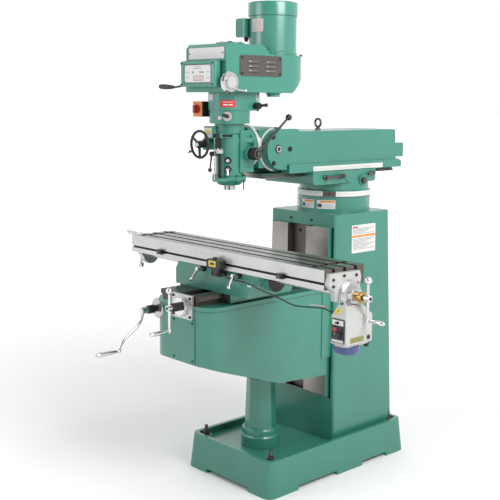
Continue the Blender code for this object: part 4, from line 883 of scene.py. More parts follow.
def make_ram_details():
    scale = Shape()
    for side in (-1, 1):
        face = 0.1402
        x_low, x_high = (face, face + SHEET_LIFT) if side > 0 else (-face - SHEET_LIFT, -face)
        scale.use(0).box(x_low, x_high, -0.078, 0.42, 1.4375, 1.46)
        scale.use(1)
        for tick in range(0, 49):
            y = -0.07 + 0.01 * tick
            top = 1.457 if tick % 5 == 0 else 1.452
            edge = side * (face + SHEET_LIFT)
            scale.box(
                min(edge, edge + side * 0.0002), max(edge, edge + side * 0.0002), y - 0.0005, y + 0.0005,
                1.444, top,
            )
    scale.piece("ram_scale", "ram", [LABEL_WHITE, LABEL_GREY])
    bolts = Shape()
    for side in (-1, 1):
        face = side * 0.1302
        out = (side, 0, 0)
        bolts.use(0).lathe((face, -0.293, 1.546), out, [(0, 0.0195), (0.0015, 0.0195), (0.0035, 0.0175)], 48)
        bolts.use(1).washer((face + side * 0.003, -0.293, 1.546), out, 0.009, 0.015, 0.0, 0.0012)
        bolts.use(0)
        for y, z, size in ((-0.221, 1.544, 0.0095), (-0.326, 1.6, 0.009), (-0.322, 1.484, 0.009)):
            bolts.hex_bolt((face, y, z), out, size)
    bolts.piece("ram_cheek_bolts", "ram", [BLACK_OXIDE, SATIN_SILVER], "black_oxide_steel", bevel=0.0004)
    eye = Shape()
    eye.torus((0, 0.097, 1.6555), BACK, 0.0185, 0.0055, 64, 20)
    profile = [(1.6223, 0.0135), (1.6265, 0.0135), (1.63, 0.0105), (1.6345, 0.0072), (1.64, 0.0062)]
    eye.turned("Z", (0, 0.097), profile, 48)
    eye.piece("eye_bolt", "ram", DARK_STEEL, "dark_steel", angle=60, stands_for="lifting_eye")
    plate = Shape()
    plate.prism("Y", rounded(-0.105, 0.105, 1.566, 1.606, 0.005), 0.5352, 0.5366)
    plate.use(1)
    plate.screws(grid("Y", 0.5366, (-0.095, 0.095), (1.574, 1.598)), BACK, 0.0035)
    for vert in plate.bm.verts:
        vert.co.y -= 0.011 * (vert.co.z - 1.473) / 0.143
    plate.piece("ram_rear_cover", "ram", [SHEET_GREEN, BLACK_OXIDE], "painted_sheet")
    nod = Shape()
    inner, outer = arc(NOD, 0.091, 96, 262, 40), arc(NOD, 0.099, 96, 262, 40)
    for low, high in ((-0.086, -0.0853), (0.0853, 0.086)):
        nod.skin(plate_rings(inner, outer, low, high, "X"))
    nod.piece("nod_protractor", "adapter", LABEL_WHITE)
    tilt = Shape()
    centre = Vector((0, -0.385, 1.555))
    rings = []
    for step in range(61):
        out, _ = spoke("Y", -70 + 220 * step / 60)
        corners = ((0.0953, 0.0015), (0.0961, 0.0015), (0.0961, 0.02), (0.0953, 0.02))
        rings.append([centre + out * radius + Vector((0, along, 0)) for radius, along in corners])
    tilt.skin(rings)
    tilt.use(1)
    for tick in range(-65, 148, 5):
        out, side = spoke("Y", tick)
        length = 0.011 if tick % 15 == 0 else 0.007
        spot = centre + out * 0.0961 + Vector((0, 0.0022 + length / 2, 0))
        tilt.slab(spot, side, Vector(FRONT), 0.001, length, 0.0002, 0.0002)
    tilt.piece("tilt_scale", "adapter", [LABEL_WHITE, INK])


make_turret_details()
make_ram_details()

# ---------------------------------------------------------------- head


def case_front_y(z):
    """The belt case's front leans back by 8 mm over its height."""
    return -0.608 + 0.008 * (z - 1.792) / 0.19


def make_case_details():
    lean = Vector((0, case_front_y(1.98) - case_front_y(1.8), 0.18)).normalized()
    across = Vector(RIGHT)
    plate = Shape()
    middle = Vector((0, case_front_y(1.9545) - 0.0004, 1.9545))
    plate.slab(middle, across, lean, 0.232, 0.048, 0.0012, 0.003)
    plate.use(1)
    for x in (-0.108, 0.108):
        plate.socket_screw(middle + Vector((x, -0.0012, 0)), FRONT, 0.0036)
    plate.piece("case_name_plate", "head", [LABEL_WHITE, BLACK_OXIDE])
    ledge = Shape()
    ledge.box(-0.1295, 0.1295, -0.612, -0.604, 1.9225, 1.9275)
    ledge.piece("case_ledge", "head", SHEET_GREEN, "painted_sheet", bevel=0.0015)
    dial = Shape()
    face = -0.6468
    dial.use(1).prism("Y", rounded(-0.0918, 0.0858, 1.8292, 1.9078, 0.008), face - 0.0006, face)
    dial.use(0).prism("Y", rounded(-0.0885, 0.0825, 1.8325, 1.9045, 0.006), face - 0.0012, face - 0.0005)
    ink = face - 0.0012
    dial.use(1)
    for x_low, x_high, z_low, z_high in ((-0.03, 0.036, 1.8395, 1.8408), (-0.03, 0.036, 1.8592, 1.8605)):
        dial.box(x_low, x_high, ink - 0.0003, ink, z_low, z_high)
    for x in (-0.03, 0.0347):
        dial.box(x, x + 0.0013, ink - 0.0003, ink, 1.8395, 1.8605)
    dial.use(2).box(-0.0287, 0.0347, ink - 0.0002, ink, 1.8408, 1.8592)
    dial.use(1)
    for x in (-0.036, 0.012, 0.03):
        dial.box(x, x + 0.007, ink - 0.0003, ink, 1.87, 1.879)
    for row, width in ((1.896, 0.044), (1.889, 0.056)):
        for step in range(int(width / 0.004)):
            x = -width / 2 + 0.004 * step
            dial.box(x, x + 0.0022, ink - 0.0003, ink, row, row + 0.0022)
    for row in (1.8745, 1.852):
        for start in (-0.08, 0.056):
            for step in range(6):
                x = start + 0.0036 * step
                dial.box(x, x + 0.0022, ink - 0.0003, ink, row, row + 0.0018)
    dial.piece("speed_range_plate", "head", [LABEL_WHITE, INK, LABEL_PINK])
    screws = Shape()
    screws.screws(grid("Y", -0.6502, (-0.1085, 0.0965), (1.8235, 1.9125)), FRONT, 0.0042)
    screws.screws(grid("X", 0.1336, (-0.515, -0.293), (1.872, 1.937)), RIGHT, 0.0048)
    screws.piece("case_screws", "head", BLACK_OXIDE, "black_oxide_steel")
    louvres = Shape()
    for y_low, y_high in ((-0.48, -0.424), (-0.376, -0.318)):
        for z in (1.922, 1.903, 1.884):
            places = [(0.0, 0.15), (0.08, 0.7), (0.22, 1.0), (0.78, 1.0), (0.92, 0.7), (1.0, 0.15)]
            sections = []
            for share, size in places:
                out = 0.1334 + 0.0062 * size
                outline = [
                    (0.1332, z - 0.0045 * size),
                    (out, z - 0.005 * size),
                    (out, z - 0.002 * size),
                    (0.1334 + 0.003 * size, z + 0.0042 * size),
                    (0.1332, z + 0.0055 * size),
                ]
                sections.append((y_low + (y_high - y_low) * share, outline))
            louvres.use(0).loft("Y", sections)
            # Under each louvre's lip, a dark strip of painted shade stands for the shadowed opening into the
            # case.
            louvres.use(1).box(0.1333, 0.1338, y_low + 0.003, y_high - 0.003, z - 0.0085, z - 0.0047)
    louvres.piece("louvres", "head", [LOUVRE_LIP, INK], "grey_sheet")
    lid = Shape()
    for step in range(3):
        lid.socket_screw((*polar(SPINDLE_CENTRE, 0.048, 30 + 120 * step), 2.0052), UP, 0.004)
    lid.lathe((0, SPINDLE_Y, 2.0052), UP, [(0, 0.0125), (0.004, 0.0125), (0.006, 0.0095)], 40)
    lid.piece("lid_screws", "head", BLACK_OXIDE, "black_oxide_steel")
    block = Shape()
    for x in (-0.088, 0.088):
        block.lathe(
            (x, -0.288, 1.7918), DOWN, [(0, 0.033), (0.006, 0.033), (0.007, 0.029), (0.017, 0.028)], 48,
        )
    block.piece("case_clamp_pads", "head", SHEET_GREEN, "painted_sheet", bevel=0.0005)
    bolts = Shape()
    for x in (0.098, -0.098):
        bolts.hex_bolt((x, -0.128, 1.9563), UP, 0.007)
    bolts.piece("case_top_bolts", "head", BLACK_OXIDE, "black_oxide_steel")
    lip = Shape()
    for low, high in ((0.1302, 0.1316), (-0.1316, -0.1302)):
        lip.box(low, high, -0.604, -0.5985, 1.795, 1.979)
    lip.piece("case_cover_seam", "head", SHEET_GREEN, "painted_sheet", bevel=0.0006)


def make_speed_dial():
    y, z = -0.589, 1.833
    dial = Shape()
    profile = [
        (0.1303, 0.044), (0.1315, 0.046), (0.1395, 0.046), (0.1412, 0.0445), (0.1445, 0.0415),
        (0.1462, 0.0405),
    ]
    dial.use(0).turned("X", (y, z), profile, 96)
    dial.use(1).turned("X", (y, z), [(0.1463, 0.04), (0.1468, 0.0398)], 96)
    dial.use(2).turned("X", (y, z), [(0.1469, 0.0285), (0.1505, 0.028), (0.1518, 0.0265)], 96)
    dial.use(3).turned("X", (y, z), [(0.1519, 0.0235), (0.1522, 0.0235)], 64)
    dial.use(4)
    for tick in range(24):
        out, side = spoke("X", 15 * tick)
        long_tick = tick % 2 == 0
        spot = Vector((0.1468, y, z)) + out * (0.0375 if long_tick else 0.0383)
        dial.slab(spot, side, -out, 0.0008, 0.0042 if long_tick else 0.0026, 0.0002, 0.0002)
    for tick in range(10):
        out, _ = spoke("X", 36 * tick)
        dial.slab(Vector((0.1522, y, z)) + out * 0.0175, BACK, UP, 0.003, 0.003, 0.0002, 0.0006)
    path = [(0.1475, -0.586, 1.815), (0.149, -0.57, 1.8075), (0.149, -0.545, 1.8015), (0.149, -0.515, 1.799)]
    dial.use(0).swept(path, [0.005, 0.0044, 0.0044, 0.005])
    dial.ball((0.149, -0.511, 1.799), 0.0075)
    materials = [CHROME, SATIN_SILVER, SATIN_SILVER, WHITE_PAINT, LABEL_PINK]
    dial.piece("speed_change_dial", "speed_dial", materials, "chrome", stands_for="speed_dial")


def make_motor():
    body = Shape()
    profile = [
        (1.9563, 0.1085), (1.9578, 0.11), (1.971, 0.11), (1.9725, 0.1085), (1.9745, 0.107), (2.13, 0.107),
    ]
    body.turned("Z", MOTOR_CENTRE, profile, 128)
    body.piece("motor_shell", "head", SHEET_GREEN, "painted_casting", angle=28, stands_for="motor")
    cowl = Shape()
    profile = [
        (2.1303, 0.1095), (2.1315, 0.1109), (2.186, 0.1109), (2.189, 0.1098), (2.1905, 0.1075),
        (2.1912, 0.104),
    ]
    profile += [(2.1912, 0.093), (2.1885, 0.0925), (2.188, 0.04), (2.1895, 0.039), (2.1895, 0.01)]
    cowl.turned("Z", MOTOR_CENTRE, profile, 128)
    cowl.piece("motor_fan_cowl", "head", SHEET_GREEN, "painted_sheet", angle=40, stands_for="motor_cowl")
    seams = Shape()
    for low, high, radius in ((2.1286, 2.1302, 0.1073), (1.9727, 1.9737, 0.1076)):
        seams.turned("Z", MOTOR_CENTRE, [(low, radius), (high, radius)], 96)
    seams.piece("motor_seams", "head", INK, "black_plastic")
    details = Shape()
    details.use(0).band(MOTOR_CENTRE, 0.1072, 0.0008, 2.06, 2.115, -103, -67, 20)
    details.use(1)
    for row in range(5):
        height = 2.068 + 0.009 * row
        details.band(MOTOR_CENTRE, 0.1081, 0.0002, height, height + 0.0026, -100, -70 - 4 * (row % 2), 14)
    details.use(2)
    for turn in (-38, -142):
        details.hex_bolt((*polar(MOTOR_CENTRE, 0.119, turn), 1.9562), UP, 0.005)
    details.piece("motor_plate_and_screws", "head", [LABEL_PINK, LABEL_GREY, BLACK_OXIDE])
    gland = Shape()
    gland.use(0).box(-0.1215, -0.1185, -0.3255, -0.2645, 2.042, 2.118)
    gland.use(1).lathe(
        (-0.09, -0.29, 2.0388), DOWN, [(0, 0.011), (0.008, 0.011), (0.01, 0.0085), (0.018, 0.0075)], 6,
    )
    gland.piece(
        "junction_lid_and_gland", "head", [SHEET_GREEN, BLACK_PLASTIC], "painted_sheet", bevel=0.0008,
    )


def make_quill_head_details():
    labels = Shape()
    rear = (0.0, SPINDLE_Y + 0.051)
    radius = 0.0942
    labels.use(0).band(SPINDLE_CENTRE, radius, 0.0008, 1.729, 1.759, -66, -26, 24)
    labels.use(1)
    marks = ((1.75, 0.0022, -60, -33), (1.7365, 0.006, -58, -47), (1.7365, 0.006, -44, -34))
    for low, height, start, end in marks:
        labels.band(SPINDLE_CENTRE, radius + 0.0008, 0.0002, low, low + height, start, end, 10)
    labels.use(2).band(SPINDLE_CENTRE, radius, 0.0006, 1.758, 1.783, -108, -92, 10)
    labels.use(2).band(rear, radius, 0.0006, 1.7555, 1.785, 12, 34, 12)
    labels.use(3).band(rear, radius + 0.0006, 0.0002, 1.759, 1.762, 15, 31, 8)
    labels.band(rear, radius + 0.0006, 0.0002, 1.768, 1.781, 15, 31, 8)
    labels.piece("gear_housing_labels", "head", [LABEL_RED, LABEL_WHITE, SATIN_SILVER, LABEL_GREY])
    plate = Shape()
    outward = Vector((0.0613, -0.0665, 0)).normalized()
    foot = Vector((0, SPINDLE_Y, 1.69)) + outward * 0.095
    plate.washer(foot, outward, 0.0085, 0.0205, 0.0, 0.0008)
    plate.piece("selector_plate", "feed_selector_knob", SATIN_SILVER)
    legend = Shape()
    legend.band(SPINDLE_CENTRE, 0.0902, 0.0005, 1.676, 1.69, -74, -64, 8)
    legend.piece("selector_legend", "head", SATIN_SILVER)
    box_label = Shape()
    box_label.front_slab((-0.042, -0.5563, 1.619), 0.05, 0.04, SHEET_LIFT, 0.003)
    box_label.use(1).front_slab((-0.042, -0.5569, 1.6255), 0.04, 0.01, 0.0002, 0.001)
    box_label.use(2)
    for row in range(3):
        box_label.front_slab((-0.042, -0.5569, 1.608 + 0.0045 * row), 0.04, 0.0016, 0.0002, 0.0004)
    box_label.piece("feed_box_label", "head", [LABEL_WHITE, LABEL_YELLOW, LABEL_GREY])
    screw = Shape()
    screw.use(0).turned("Z", STOP_ROD, [(1.4248, 0.0072), (1.5982, 0.0072)], 40)
    for turn in range(56):
        screw.torus((0.038, -0.558, 1.4275 + 0.003 * turn), UP, 0.0072, 0.0013, 32, 6)
    screw.use(1).box(0.0215, 0.029, -0.5775, -0.5762, 1.412, 1.615)
    screw.piece(
        "depth_stop_screw", "head", [BLACK_OXIDE, SATIN_SILVER], "black_oxide_steel",
        stands_for="quill_stop_screw",
    )
    nut = Shape()
    profile = [(1.531, 0.014), (1.5322, 0.0155), (1.5478, 0.0155), (1.549, 0.014)]
    nut.knurled("Z", STOP_ROD, profile, 72, 0.0006, lambda step, radius: step % 2)
    nut.turned("Z", STOP_ROD, [(1.5492, 0.0115), (1.553, 0.011)], 40)
    nut.piece("depth_stop_nut", "quill_stop_nut", CHROME, "chrome", stands_for="quill_stop_nut")
    lock = Shape()
    outward = Vector((0.68, -0.733, 0)).normalized()
    foot = Vector((0, SPINDLE_Y, 1.462)) + outward * 0.0632
    lock.use(1).lathe(foot - outward * 0.0008, outward, [(0, 0.0115), (0.003, 0.0115)], 40)
    lock.use(0).lathe(
        foot + outward * 0.0024, outward, [(0, 0.009), (0.012, 0.0088), (0.0168, 0.007), (0.018, 0.004)],
        40,
    )
    start = foot + outward * 0.013
    lock.swept(
        [start, start + Vector((0.002, -0.002, -0.014)), start + Vector((0.004, -0.004, -0.026))],
        [0.0048, 0.0052, 0.0062],
    )
    lock.piece(
        "quill_clamp", "quill_lock_lever", [CHROME, BLACK_OXIDE], "chrome", stands_for="quill_lock_lever",
    )
    seat = Shape()
    upper = Vector((0, SPINDLE_Y, 1.5)) + outward * 0.061
    seat.use(1).lathe(upper, outward, [(0, 0.0115), (0.006, 0.0115)], 40)
    seat.use(0).lathe(upper + outward * 0.006, outward, [(0, 0.008), (0.01, 0.008), (0.012, 0.006)], 32)
    for spot in (upper, foot - outward * 0.003):
        seat.use(1).lathe(
            spot - outward * 0.002, outward, [(0, 0.0165), (0.0036, 0.0165), (0.0046, 0.015)], 8,
        )
    seat.piece("quill_fittings", "head", [CHROME, BLACK_OXIDE], "chrome")
    bosses = Shape()
    for turn in (-150, -112, -12, 24, 156):
        x, y = polar(SPINDLE_CENTRE, 0.0705, turn)
        bosses.use(0).lathe((x, y, 1.4075), UP, [(0, 0.0075), (0.002, 0.0095), (0.023, 0.0095)], 32)
        bosses.use(1).hex_bolt((x, y, 1.4306), UP, 0.0054)
        bosses.use(1).lathe((x, y, 1.4074), DOWN, [(0, 0.005), (0.005, 0.0045)], 24)
    bosses.use(1).box(0.0185, 0.0575, -0.5775, -0.5742, 1.5985, 1.6165)
    bosses.swept(
        [(0.056, -0.556, 1.608), (0.076, -0.542, 1.608), (0.09, -0.532, 1.608)], [0.0052, 0.0052, 0.006],
    )
    bosses.piece("housing_bosses", "head", [CAST_GREEN, BLACK_OXIDE], "painted_casting", bevel=0.0006)
    # Dark slabs on the spindle nose draw its slots: their dark colour is painted shade of the hollows.
    slot_shades = Shape()
    for turn in (-133, -88, -43):
        out, side = spoke("Z", turn)
        slot_shades.slab(Vector((0, SPINDLE_Y, 1.377)) + out * 0.0249, side, UP, 0.006, 0.018, 0.0004, 0.001)
    slot_shades.piece("nose_slot_shades", "spindle", SLOT_IRON, "ground_steel")
    rod = Shape()
    rod.bar((0.05, -0.428, 1.4165), (0.05, -0.428, 1.362 + 0.004), 0.0024)
    rod.piece("oil_drain_rod", "head", BLACK_OXIDE, "black_oxide_steel")


def make_quill_lever():
    lever = Shape()
    centre = (-0.421, 1.529)
    profile = [
        (0.0958, 0.027), (0.097, 0.028), (0.121, 0.028), (0.1225, 0.0268), (0.125, 0.024), (0.134, 0.024),
    ]
    lever.use(0).turned("X", centre, profile, 72)
    lever.use(1).turned("X", centre, [(0.1341, 0.0215), (0.135, 0.021)], 64)
    lever.use(0).turned("X", centre, [(0.1351, 0.015), (0.1362, 0.0145)], 64)
    lever.use(1).turned("X", centre, [(0.1363, 0.01), (0.141, 0.0098), (0.142, 0.0086)], 48)
    lever.use(0).turned("X", centre, [(0.03, 0.0078), (0.096, 0.0078)], 32)
    start, end = Vector((0.128, -0.414, 1.536)), Vector((0.16, -0.262, 1.686))
    share = [start.lerp(end, t) for t in (0.0, 0.12, 0.16, 0.88, 1.0)]
    lever.swept(share, [0.0075, 0.0075, 0.0054, 0.005, 0.0046])
    lever.use(2).ball(end, 0.0145)
    lever.piece(
        "quill_lever", "quill_feed_lever", [BLACK_OXIDE, PLATE_GREY, BLACK_PLASTIC], "black_oxide_steel",
        stands_for="quill_feed_lever",
    )


def make_handwheel():
    wheel = Shape()
    centre = Vector((-0.052, -0.595, 1.568))
    rim = 0.0575
    wheel.use(0).torus(centre, BACK, rim, 0.0058, 96, 20)
    wheel.turned(
        "Y", (-0.052, 1.568), [(-0.61, 0.013), (-0.6085, 0.015), (-0.59, 0.0165), (-0.566, 0.015)], 48,
    )
    wheel.turned("Y", (-0.052, 1.568), [(-0.57, 0.007), (-0.53, 0.007)], 32)
    for step in range(3):
        out, _ = spoke("Y", 30 + 120 * step)
        places = ((0.01, -0.003), (0.026, -0.001), (0.044, 0), (rim, 0))
        path = [centre + out * reach + Vector((0, lift, 0)) for reach, lift in places]
        wheel.swept(path, [0.0074, 0.0058, 0.0054, 0.0064])
    grip = centre + rim * spoke("Y", 215)[0]
    places = [
        (0.0, 0.0038), (-0.006, 0.0038), (-0.009, 0.005), (-0.02, 0.0062), (-0.03, 0.006), (-0.034, 0.004),
    ]
    path = [grip + Vector((0, reach, 0)) for reach, _ in places]
    wheel.use(1).swept(path, [radius for _, radius in places])
    wheel.use(1).turned("Y", (-0.052, 1.568), [(-0.6118, 0.007), (-0.6101, 0.0085)], 32)
    wheel.piece(
        "fine_feed_wheel", "fine_feed_handwheel", [BLACK_OXIDE, CHROME], "black_oxide_steel",
        stands_for="fine_feed_handwheel",
    )
    trip = Shape()
    trip.use(0).turned("Y", (0.01, 1.529), [(-0.586, 0.0085), (-0.5845, 0.01), (-0.5703, 0.01)], 40)
    trip.swept(
        [(0.01, -0.5805, 1.524), (0.007, -0.582, 1.494), (0.004, -0.584, 1.462)], [0.0042, 0.0034, 0.0034],
    )
    trip.use(1).ball((0.004, -0.584, 1.459), 0.009)
    trip.piece(
        "feed_trip", "feed_trip_lever", [BLACK_OXIDE, BLACK_PLASTIC], "black_oxide_steel",
        stands_for="feed_trip_lever",
    )
    brake = Shape()
    brake.use(0).turned("Y", (-0.136, 1.825), [(-0.606, 0.005), (-0.594, 0.0054)], 32)
    arm = [
        (-0.136, -0.6, 1.825), (-0.148, -0.606, 1.8212), (-0.16, -0.612, 1.818), (-0.185, -0.62, 1.814),
        (-0.2, -0.624, 1.814),
    ]
    brake.swept(arm, [0.0042, 0.0042, 0.0042, 0.0042, 0.0045])
    grip = [
        (-0.194, -0.6225, 1.814), (-0.2, -0.624, 1.814), (-0.22, -0.628, 1.8142), (-0.248, -0.634, 1.8155),
    ]
    grip += [(-0.266, -0.6378, 1.8165), (-0.276, -0.6396, 1.817), (-0.279, -0.6402, 1.8172)]
    brake.use(1).swept(grip, [0.0052, 0.0072, 0.0098, 0.0113, 0.0108, 0.008, 0.004])
    brake.piece(
        "spindle_brake", "brake_lever", [BLACK_OXIDE, BLACK_PLASTIC], "black_oxide_steel",
        stands_for="brake_lever",
    )


make_case_details()
make_speed_dial()
make_motor()
make_quill_head_details()
make_quill_lever()
make_handwheel()

# ---------------------------------------------------------------- knee


def dial_ticks(shape, axis, centre, radius, low, high, count, every):
    """Engraved lines along a round dial's rim; every n-th line is longer."""
    for tick in range(count):
        out, side = spoke(axis, 360 * tick / count)
        reach = high if tick % every == 0 else low + (high - low) * 0.6
        spot = on_plane(axis, (low + reach) / 2, *centre) + out * radius
        shape.slab(spot, side, side.cross(out), 0.0006, abs(reach - low), 0.0002, 0.0001)


def ball_crank(axis, hub, reach_up, reach_down, handle_side, plane, handle_end):
    """A chromed ball crank: tapered arm, ball at one end, revolving handle at the other."""
    crank = Shape()
    step = 1 if handle_end > plane else -1
    top, bottom = hub[1] + reach_up, hub[1] - reach_down
    ball_v, handle_v = (bottom, top) if handle_side > 0 else (top, bottom)
    shares = (0.0, 0.08, 0.45, 0.5, 0.55, 0.92, 1.0)
    radii = (0.006, 0.0054, 0.0062, 0.0066, 0.0062, 0.0052, 0.006)
    path = [on_plane(axis, plane, hub[0], bottom + (top - bottom) * share) for share in shares]
    crank.swept(path, radii)
    profile = [(-0.013, 0.0118), (-0.0115, 0.0134), (0.0115, 0.0134), (0.013, 0.0118)]
    crank.turned(axis, hub, [(plane + along, radius) for along, radius in profile], 48)
    crank.ball(on_plane(axis, plane, hub[0], ball_v), 0.015)
    crank.ball(on_plane(axis, plane, hub[0], handle_v), 0.0094)
    length = abs(handle_end - plane)
    places = [(0.0, 0.005), (0.1, 0.005), (0.12, 0.0066), (0.28, 0.0072), (0.5, 0.009), (0.68, 0.01)]
    places += [(0.82, 0.0096), (0.92, 0.0082), (0.98, 0.0058), (1.0, 0.003)]
    handle = [on_plane(axis, plane + step * length * share, hub[0], handle_v) for share, _ in places]
    crank.swept(handle, [radius for _, radius in places])
    crank.use(1).turned(axis, hub, [(plane + step * 0.0131, 0.0075), (plane + step * 0.015, 0.0065)], 6)
    crank.use(0)
    return crank


def make_deck_line():
    """A thin strip of painted shade just under the knee's deck, round the edge where its side begins: a real
    edge under a lip, drawn darker as its shadow.
    """
    line = Shape()
    half, flat, front, rear = 0.1951, 0.111, -0.7551, -0.017
    radius = half - flat
    for side in (-1, 1):
        outline = [(side * half, rear), (side * half, front + radius)]
        corner = arc((flat, front + radius), radius, 0, -90, 16)
        outline += [(side * x, y) for x, y in corner]
        inner, outer = 0.0002, 0.0012
        corners = ((0, 0.8745), (outer, 0.8745), (outer, 0.8762), (0, 0.8762))
        rings = []
        for index, (x, y) in enumerate(outline):
            turn = math.radians(0 if index < 2 else -90 * (index - 2) / 16)
            out = Vector((side * math.cos(turn), math.sin(turn), 0))
            ring = [Vector((x, y, z)) + out * reach for reach, z in corners]
            rings.append([point - out * inner for point in ring])
        line.skin(rings)
    line.piece("knee_deck_shade_line", "knee", SHADE_GREEN, "painted_casting")


def make_knee_details():
    crank = Shape()
    face = -0.7273
    x, z = KNEE_CRANK
    profile = [(face - 0.074, 0.018), (face - 0.073, 0.019), (face - 0.0405, 0.019), (face - 0.0385, 0.015)]
    profile += [(face - 0.026, 0.015)]
    crank.use(2).turned("Y", KNEE_CRANK, profile, 64)
    profile = [(face - 0.025, 0.0375), (face - 0.0238, 0.0385), (face - 0.019, 0.0445)]
    crank.use(1).turned("Y", KNEE_CRANK, profile + [(face - 0.0182, 0.045)], 96)
    crank.turned(
        "Y", KNEE_CRANK, [(face - 0.0181, 0.045), (face - 0.005, 0.045), (face - 0.0002, 0.042)], 96,
    )
    crank.use(2)
    dial_ticks(crank, "Y", KNEE_CRANK, 0.045, face - 0.0065, face - 0.015, 100, 10)
    crank.use(0).turned(
        "Y", KNEE_CRANK, [(face - 0.11, 0.0135), (face - 0.1085, 0.015), (face - 0.0741, 0.015)], 48,
    )
    drops = [
        (0.099, 0.0), (0.1015, 0.016), (0.105, 0.03), (0.114, 0.047), (0.128, 0.064), (0.148, 0.079),
        (0.17, 0.092),
    ]
    drops += [(0.188, 0.104), (0.204, 0.118), (0.216, 0.133), (0.224, 0.148), (0.23, 0.166)]
    path = [(x, face - reach, z - drop) for reach, drop in drops]
    radii = [0.008, 0.0072, 0.0068, 0.0065, 0.0064, 0.0062, 0.0062, 0.0062, 0.0062, 0.0064, 0.0068, 0.0074]
    crank.swept(path, radii)
    handle_z = z - 0.16
    crank.ball((x, face - 0.23, handle_z), 0.0105)
    reaches = [
        (0.23, 0.005), (0.24, 0.005), (0.243, 0.0066), (0.262, 0.0078), (0.285, 0.0096), (0.31, 0.0107),
    ]
    reaches += [(0.33, 0.0105), (0.343, 0.009), (0.35, 0.005)]
    crank.swept([(x, face - reach, handle_z) for reach, _ in reaches], [radius for _, radius in reaches])
    crank.piece(
        "knee_handle", "knee_crank", [CHROME, SATIN_SILVER, BLACK_OXIDE], "chrome", stands_for="knee_crank",
    )
    fittings = Shape()
    front = -0.7552
    fittings.screws(grid("Y", front - 0.0052, (-0.03, 0.096), (0.654, 0.82)), FRONT, 0.0048)
    flange = grid("Y", front - 0.0124, (CROSS[0] - 0.056, CROSS[0] + 0.056), (0.8465, 0.9275))
    fittings.screws(flange, FRONT, 0.0062)
    fittings.use(1).washer((CROSS[0], -0.776, CROSS[1]), FRONT, 0.0405, 0.0432, 0.0, 0.0022)
    fittings.use(1).washer((CROSS[0], -0.7822, CROSS[1]), FRONT, 0.015, 0.0385, 0.0, 0.0008)
    fittings.use(2).washer(
        on_plane("Y", -0.7272, *KNEE_CRANK) + Vector((0, 0.01, 0)), FRONT, 0.0462, 0.0466, 0, 0.007,
    )
    fittings.piece("knee_fittings", "knee", [BLACK_OXIDE, CHROME, SATIN_SILVER], "black_oxide_steel")
    make_deck_line()
    collar = Shape()
    collar.turned("Y", CROSS, [(-0.8195, 0.0165), (-0.818, 0.019), (-0.7835, 0.019)], 64)
    collar.piece("cross_feed_collar", "cross_feed_screw", BLACK_OXIDE, "black_oxide_steel")
    crank = ball_crank("Y", CROSS, 0.074, 0.1, -1, -0.833, -0.939)
    crank.piece(
        "cross_feed_handle", "cross_feed_screw", [CHROME, BLACK_OXIDE], "chrome",
        stands_for="cross_feed_crank",
    )


# ---------------------------------------------------------------- saddle and table


def make_saddle_details():
    bits = Shape()
    # A thin dark ring round the lead screw on the saddle's right end: painted shade where a boss there lies
    # in shadow.
    bits.use(0).washer((0.3682, *LEAD), RIGHT, 0.015, 0.0518, 0.0, 0.001)
    for x in (0.006, 0.237):
        bits.use(1).lathe((x, -0.6202, 1.032), FRONT, [(0, 0.015), (0.006, 0.015), (0.008, 0.013)], 40)
    bits.use(3).lathe(
        (0.305, -0.6202, 0.998), FRONT, [(0, 0.007), (0.004, 0.007), (0.006, 0.0045), (0.012, 0.004)], 28,
    )
    bits.use(2)
    for side in (-1, 1):
        bits.box(*sorted((side * 0.1352, side * 0.166)), -0.616, -0.6102, 0.9, 0.936)
    bits.piece("saddle_fittings", "saddle", [SLOT_IRON, BLACK_OXIDE, RUBBER, CHROME], "dark_steel")
    switch = Shape()
    face = -0.6762
    switch.use(0).front_slab((0.127, face, 1.073), 0.046, 0.026, SHEET_LIFT, 0.004)
    switch.use(1).front_slab((0.127, face - SHEET_LIFT, 1.073), 0.028, 0.01, 0.0002, 0.002)
    switch.use(2).screws(grid("Y", face, (0.094, 0.1725), (1.0575, 1.086)), FRONT, 0.0028)
    switch.use(3).turned("Z", (0.129, -0.661), [(1.0912, 0.0092), (1.099, 0.0092)], 40)
    switch.use(2).turned("Z", (0.129, -0.661), [(1.0991, 0.004), (1.1005, 0.0034)], 24)
    switch.screws(grid("Y", -0.6682, (0.118, 0.148), (1.03,)), FRONT, 0.005)
    names = [LABEL_YELLOW, BLACK_PLASTIC, BLACK_OXIDE, RUBBER]
    switch.piece("switch_face_and_roller", "saddle", names, "black_plastic")
    for name, x, tip in (("table_lock_left", 0.006, -0.032), ("table_lock_right", 0.237, -0.016)):
        lock = Shape()
        profile = [
            (-0.664, 0.007), (-0.6628, 0.0088), (-0.65, 0.0094), (-0.636, 0.0094), (-0.635, 0.0078),
            (-0.6204, 0.0078),
        ]
        lock.turned("Y", (x, 1.032), profile, 40)
        lock.turned("Y", (x, 1.032), [(-0.6203, 0.005), (-0.593, 0.005)], 24)
        start, end = Vector((x, -0.656, 1.032)), Vector((x + tip, -0.664, 0.986))
        path = [start.lerp(end, share) for share in (0.0, 0.2, 0.85, 1.0)]
        lock.swept(path, [0.0054, 0.005, 0.004, 0.0042])
        lock.ball((x + tip, -0.664, 0.984), 0.0085)
        lock.piece(name + "_lever", name, CHROME, "chrome", stands_for=name)


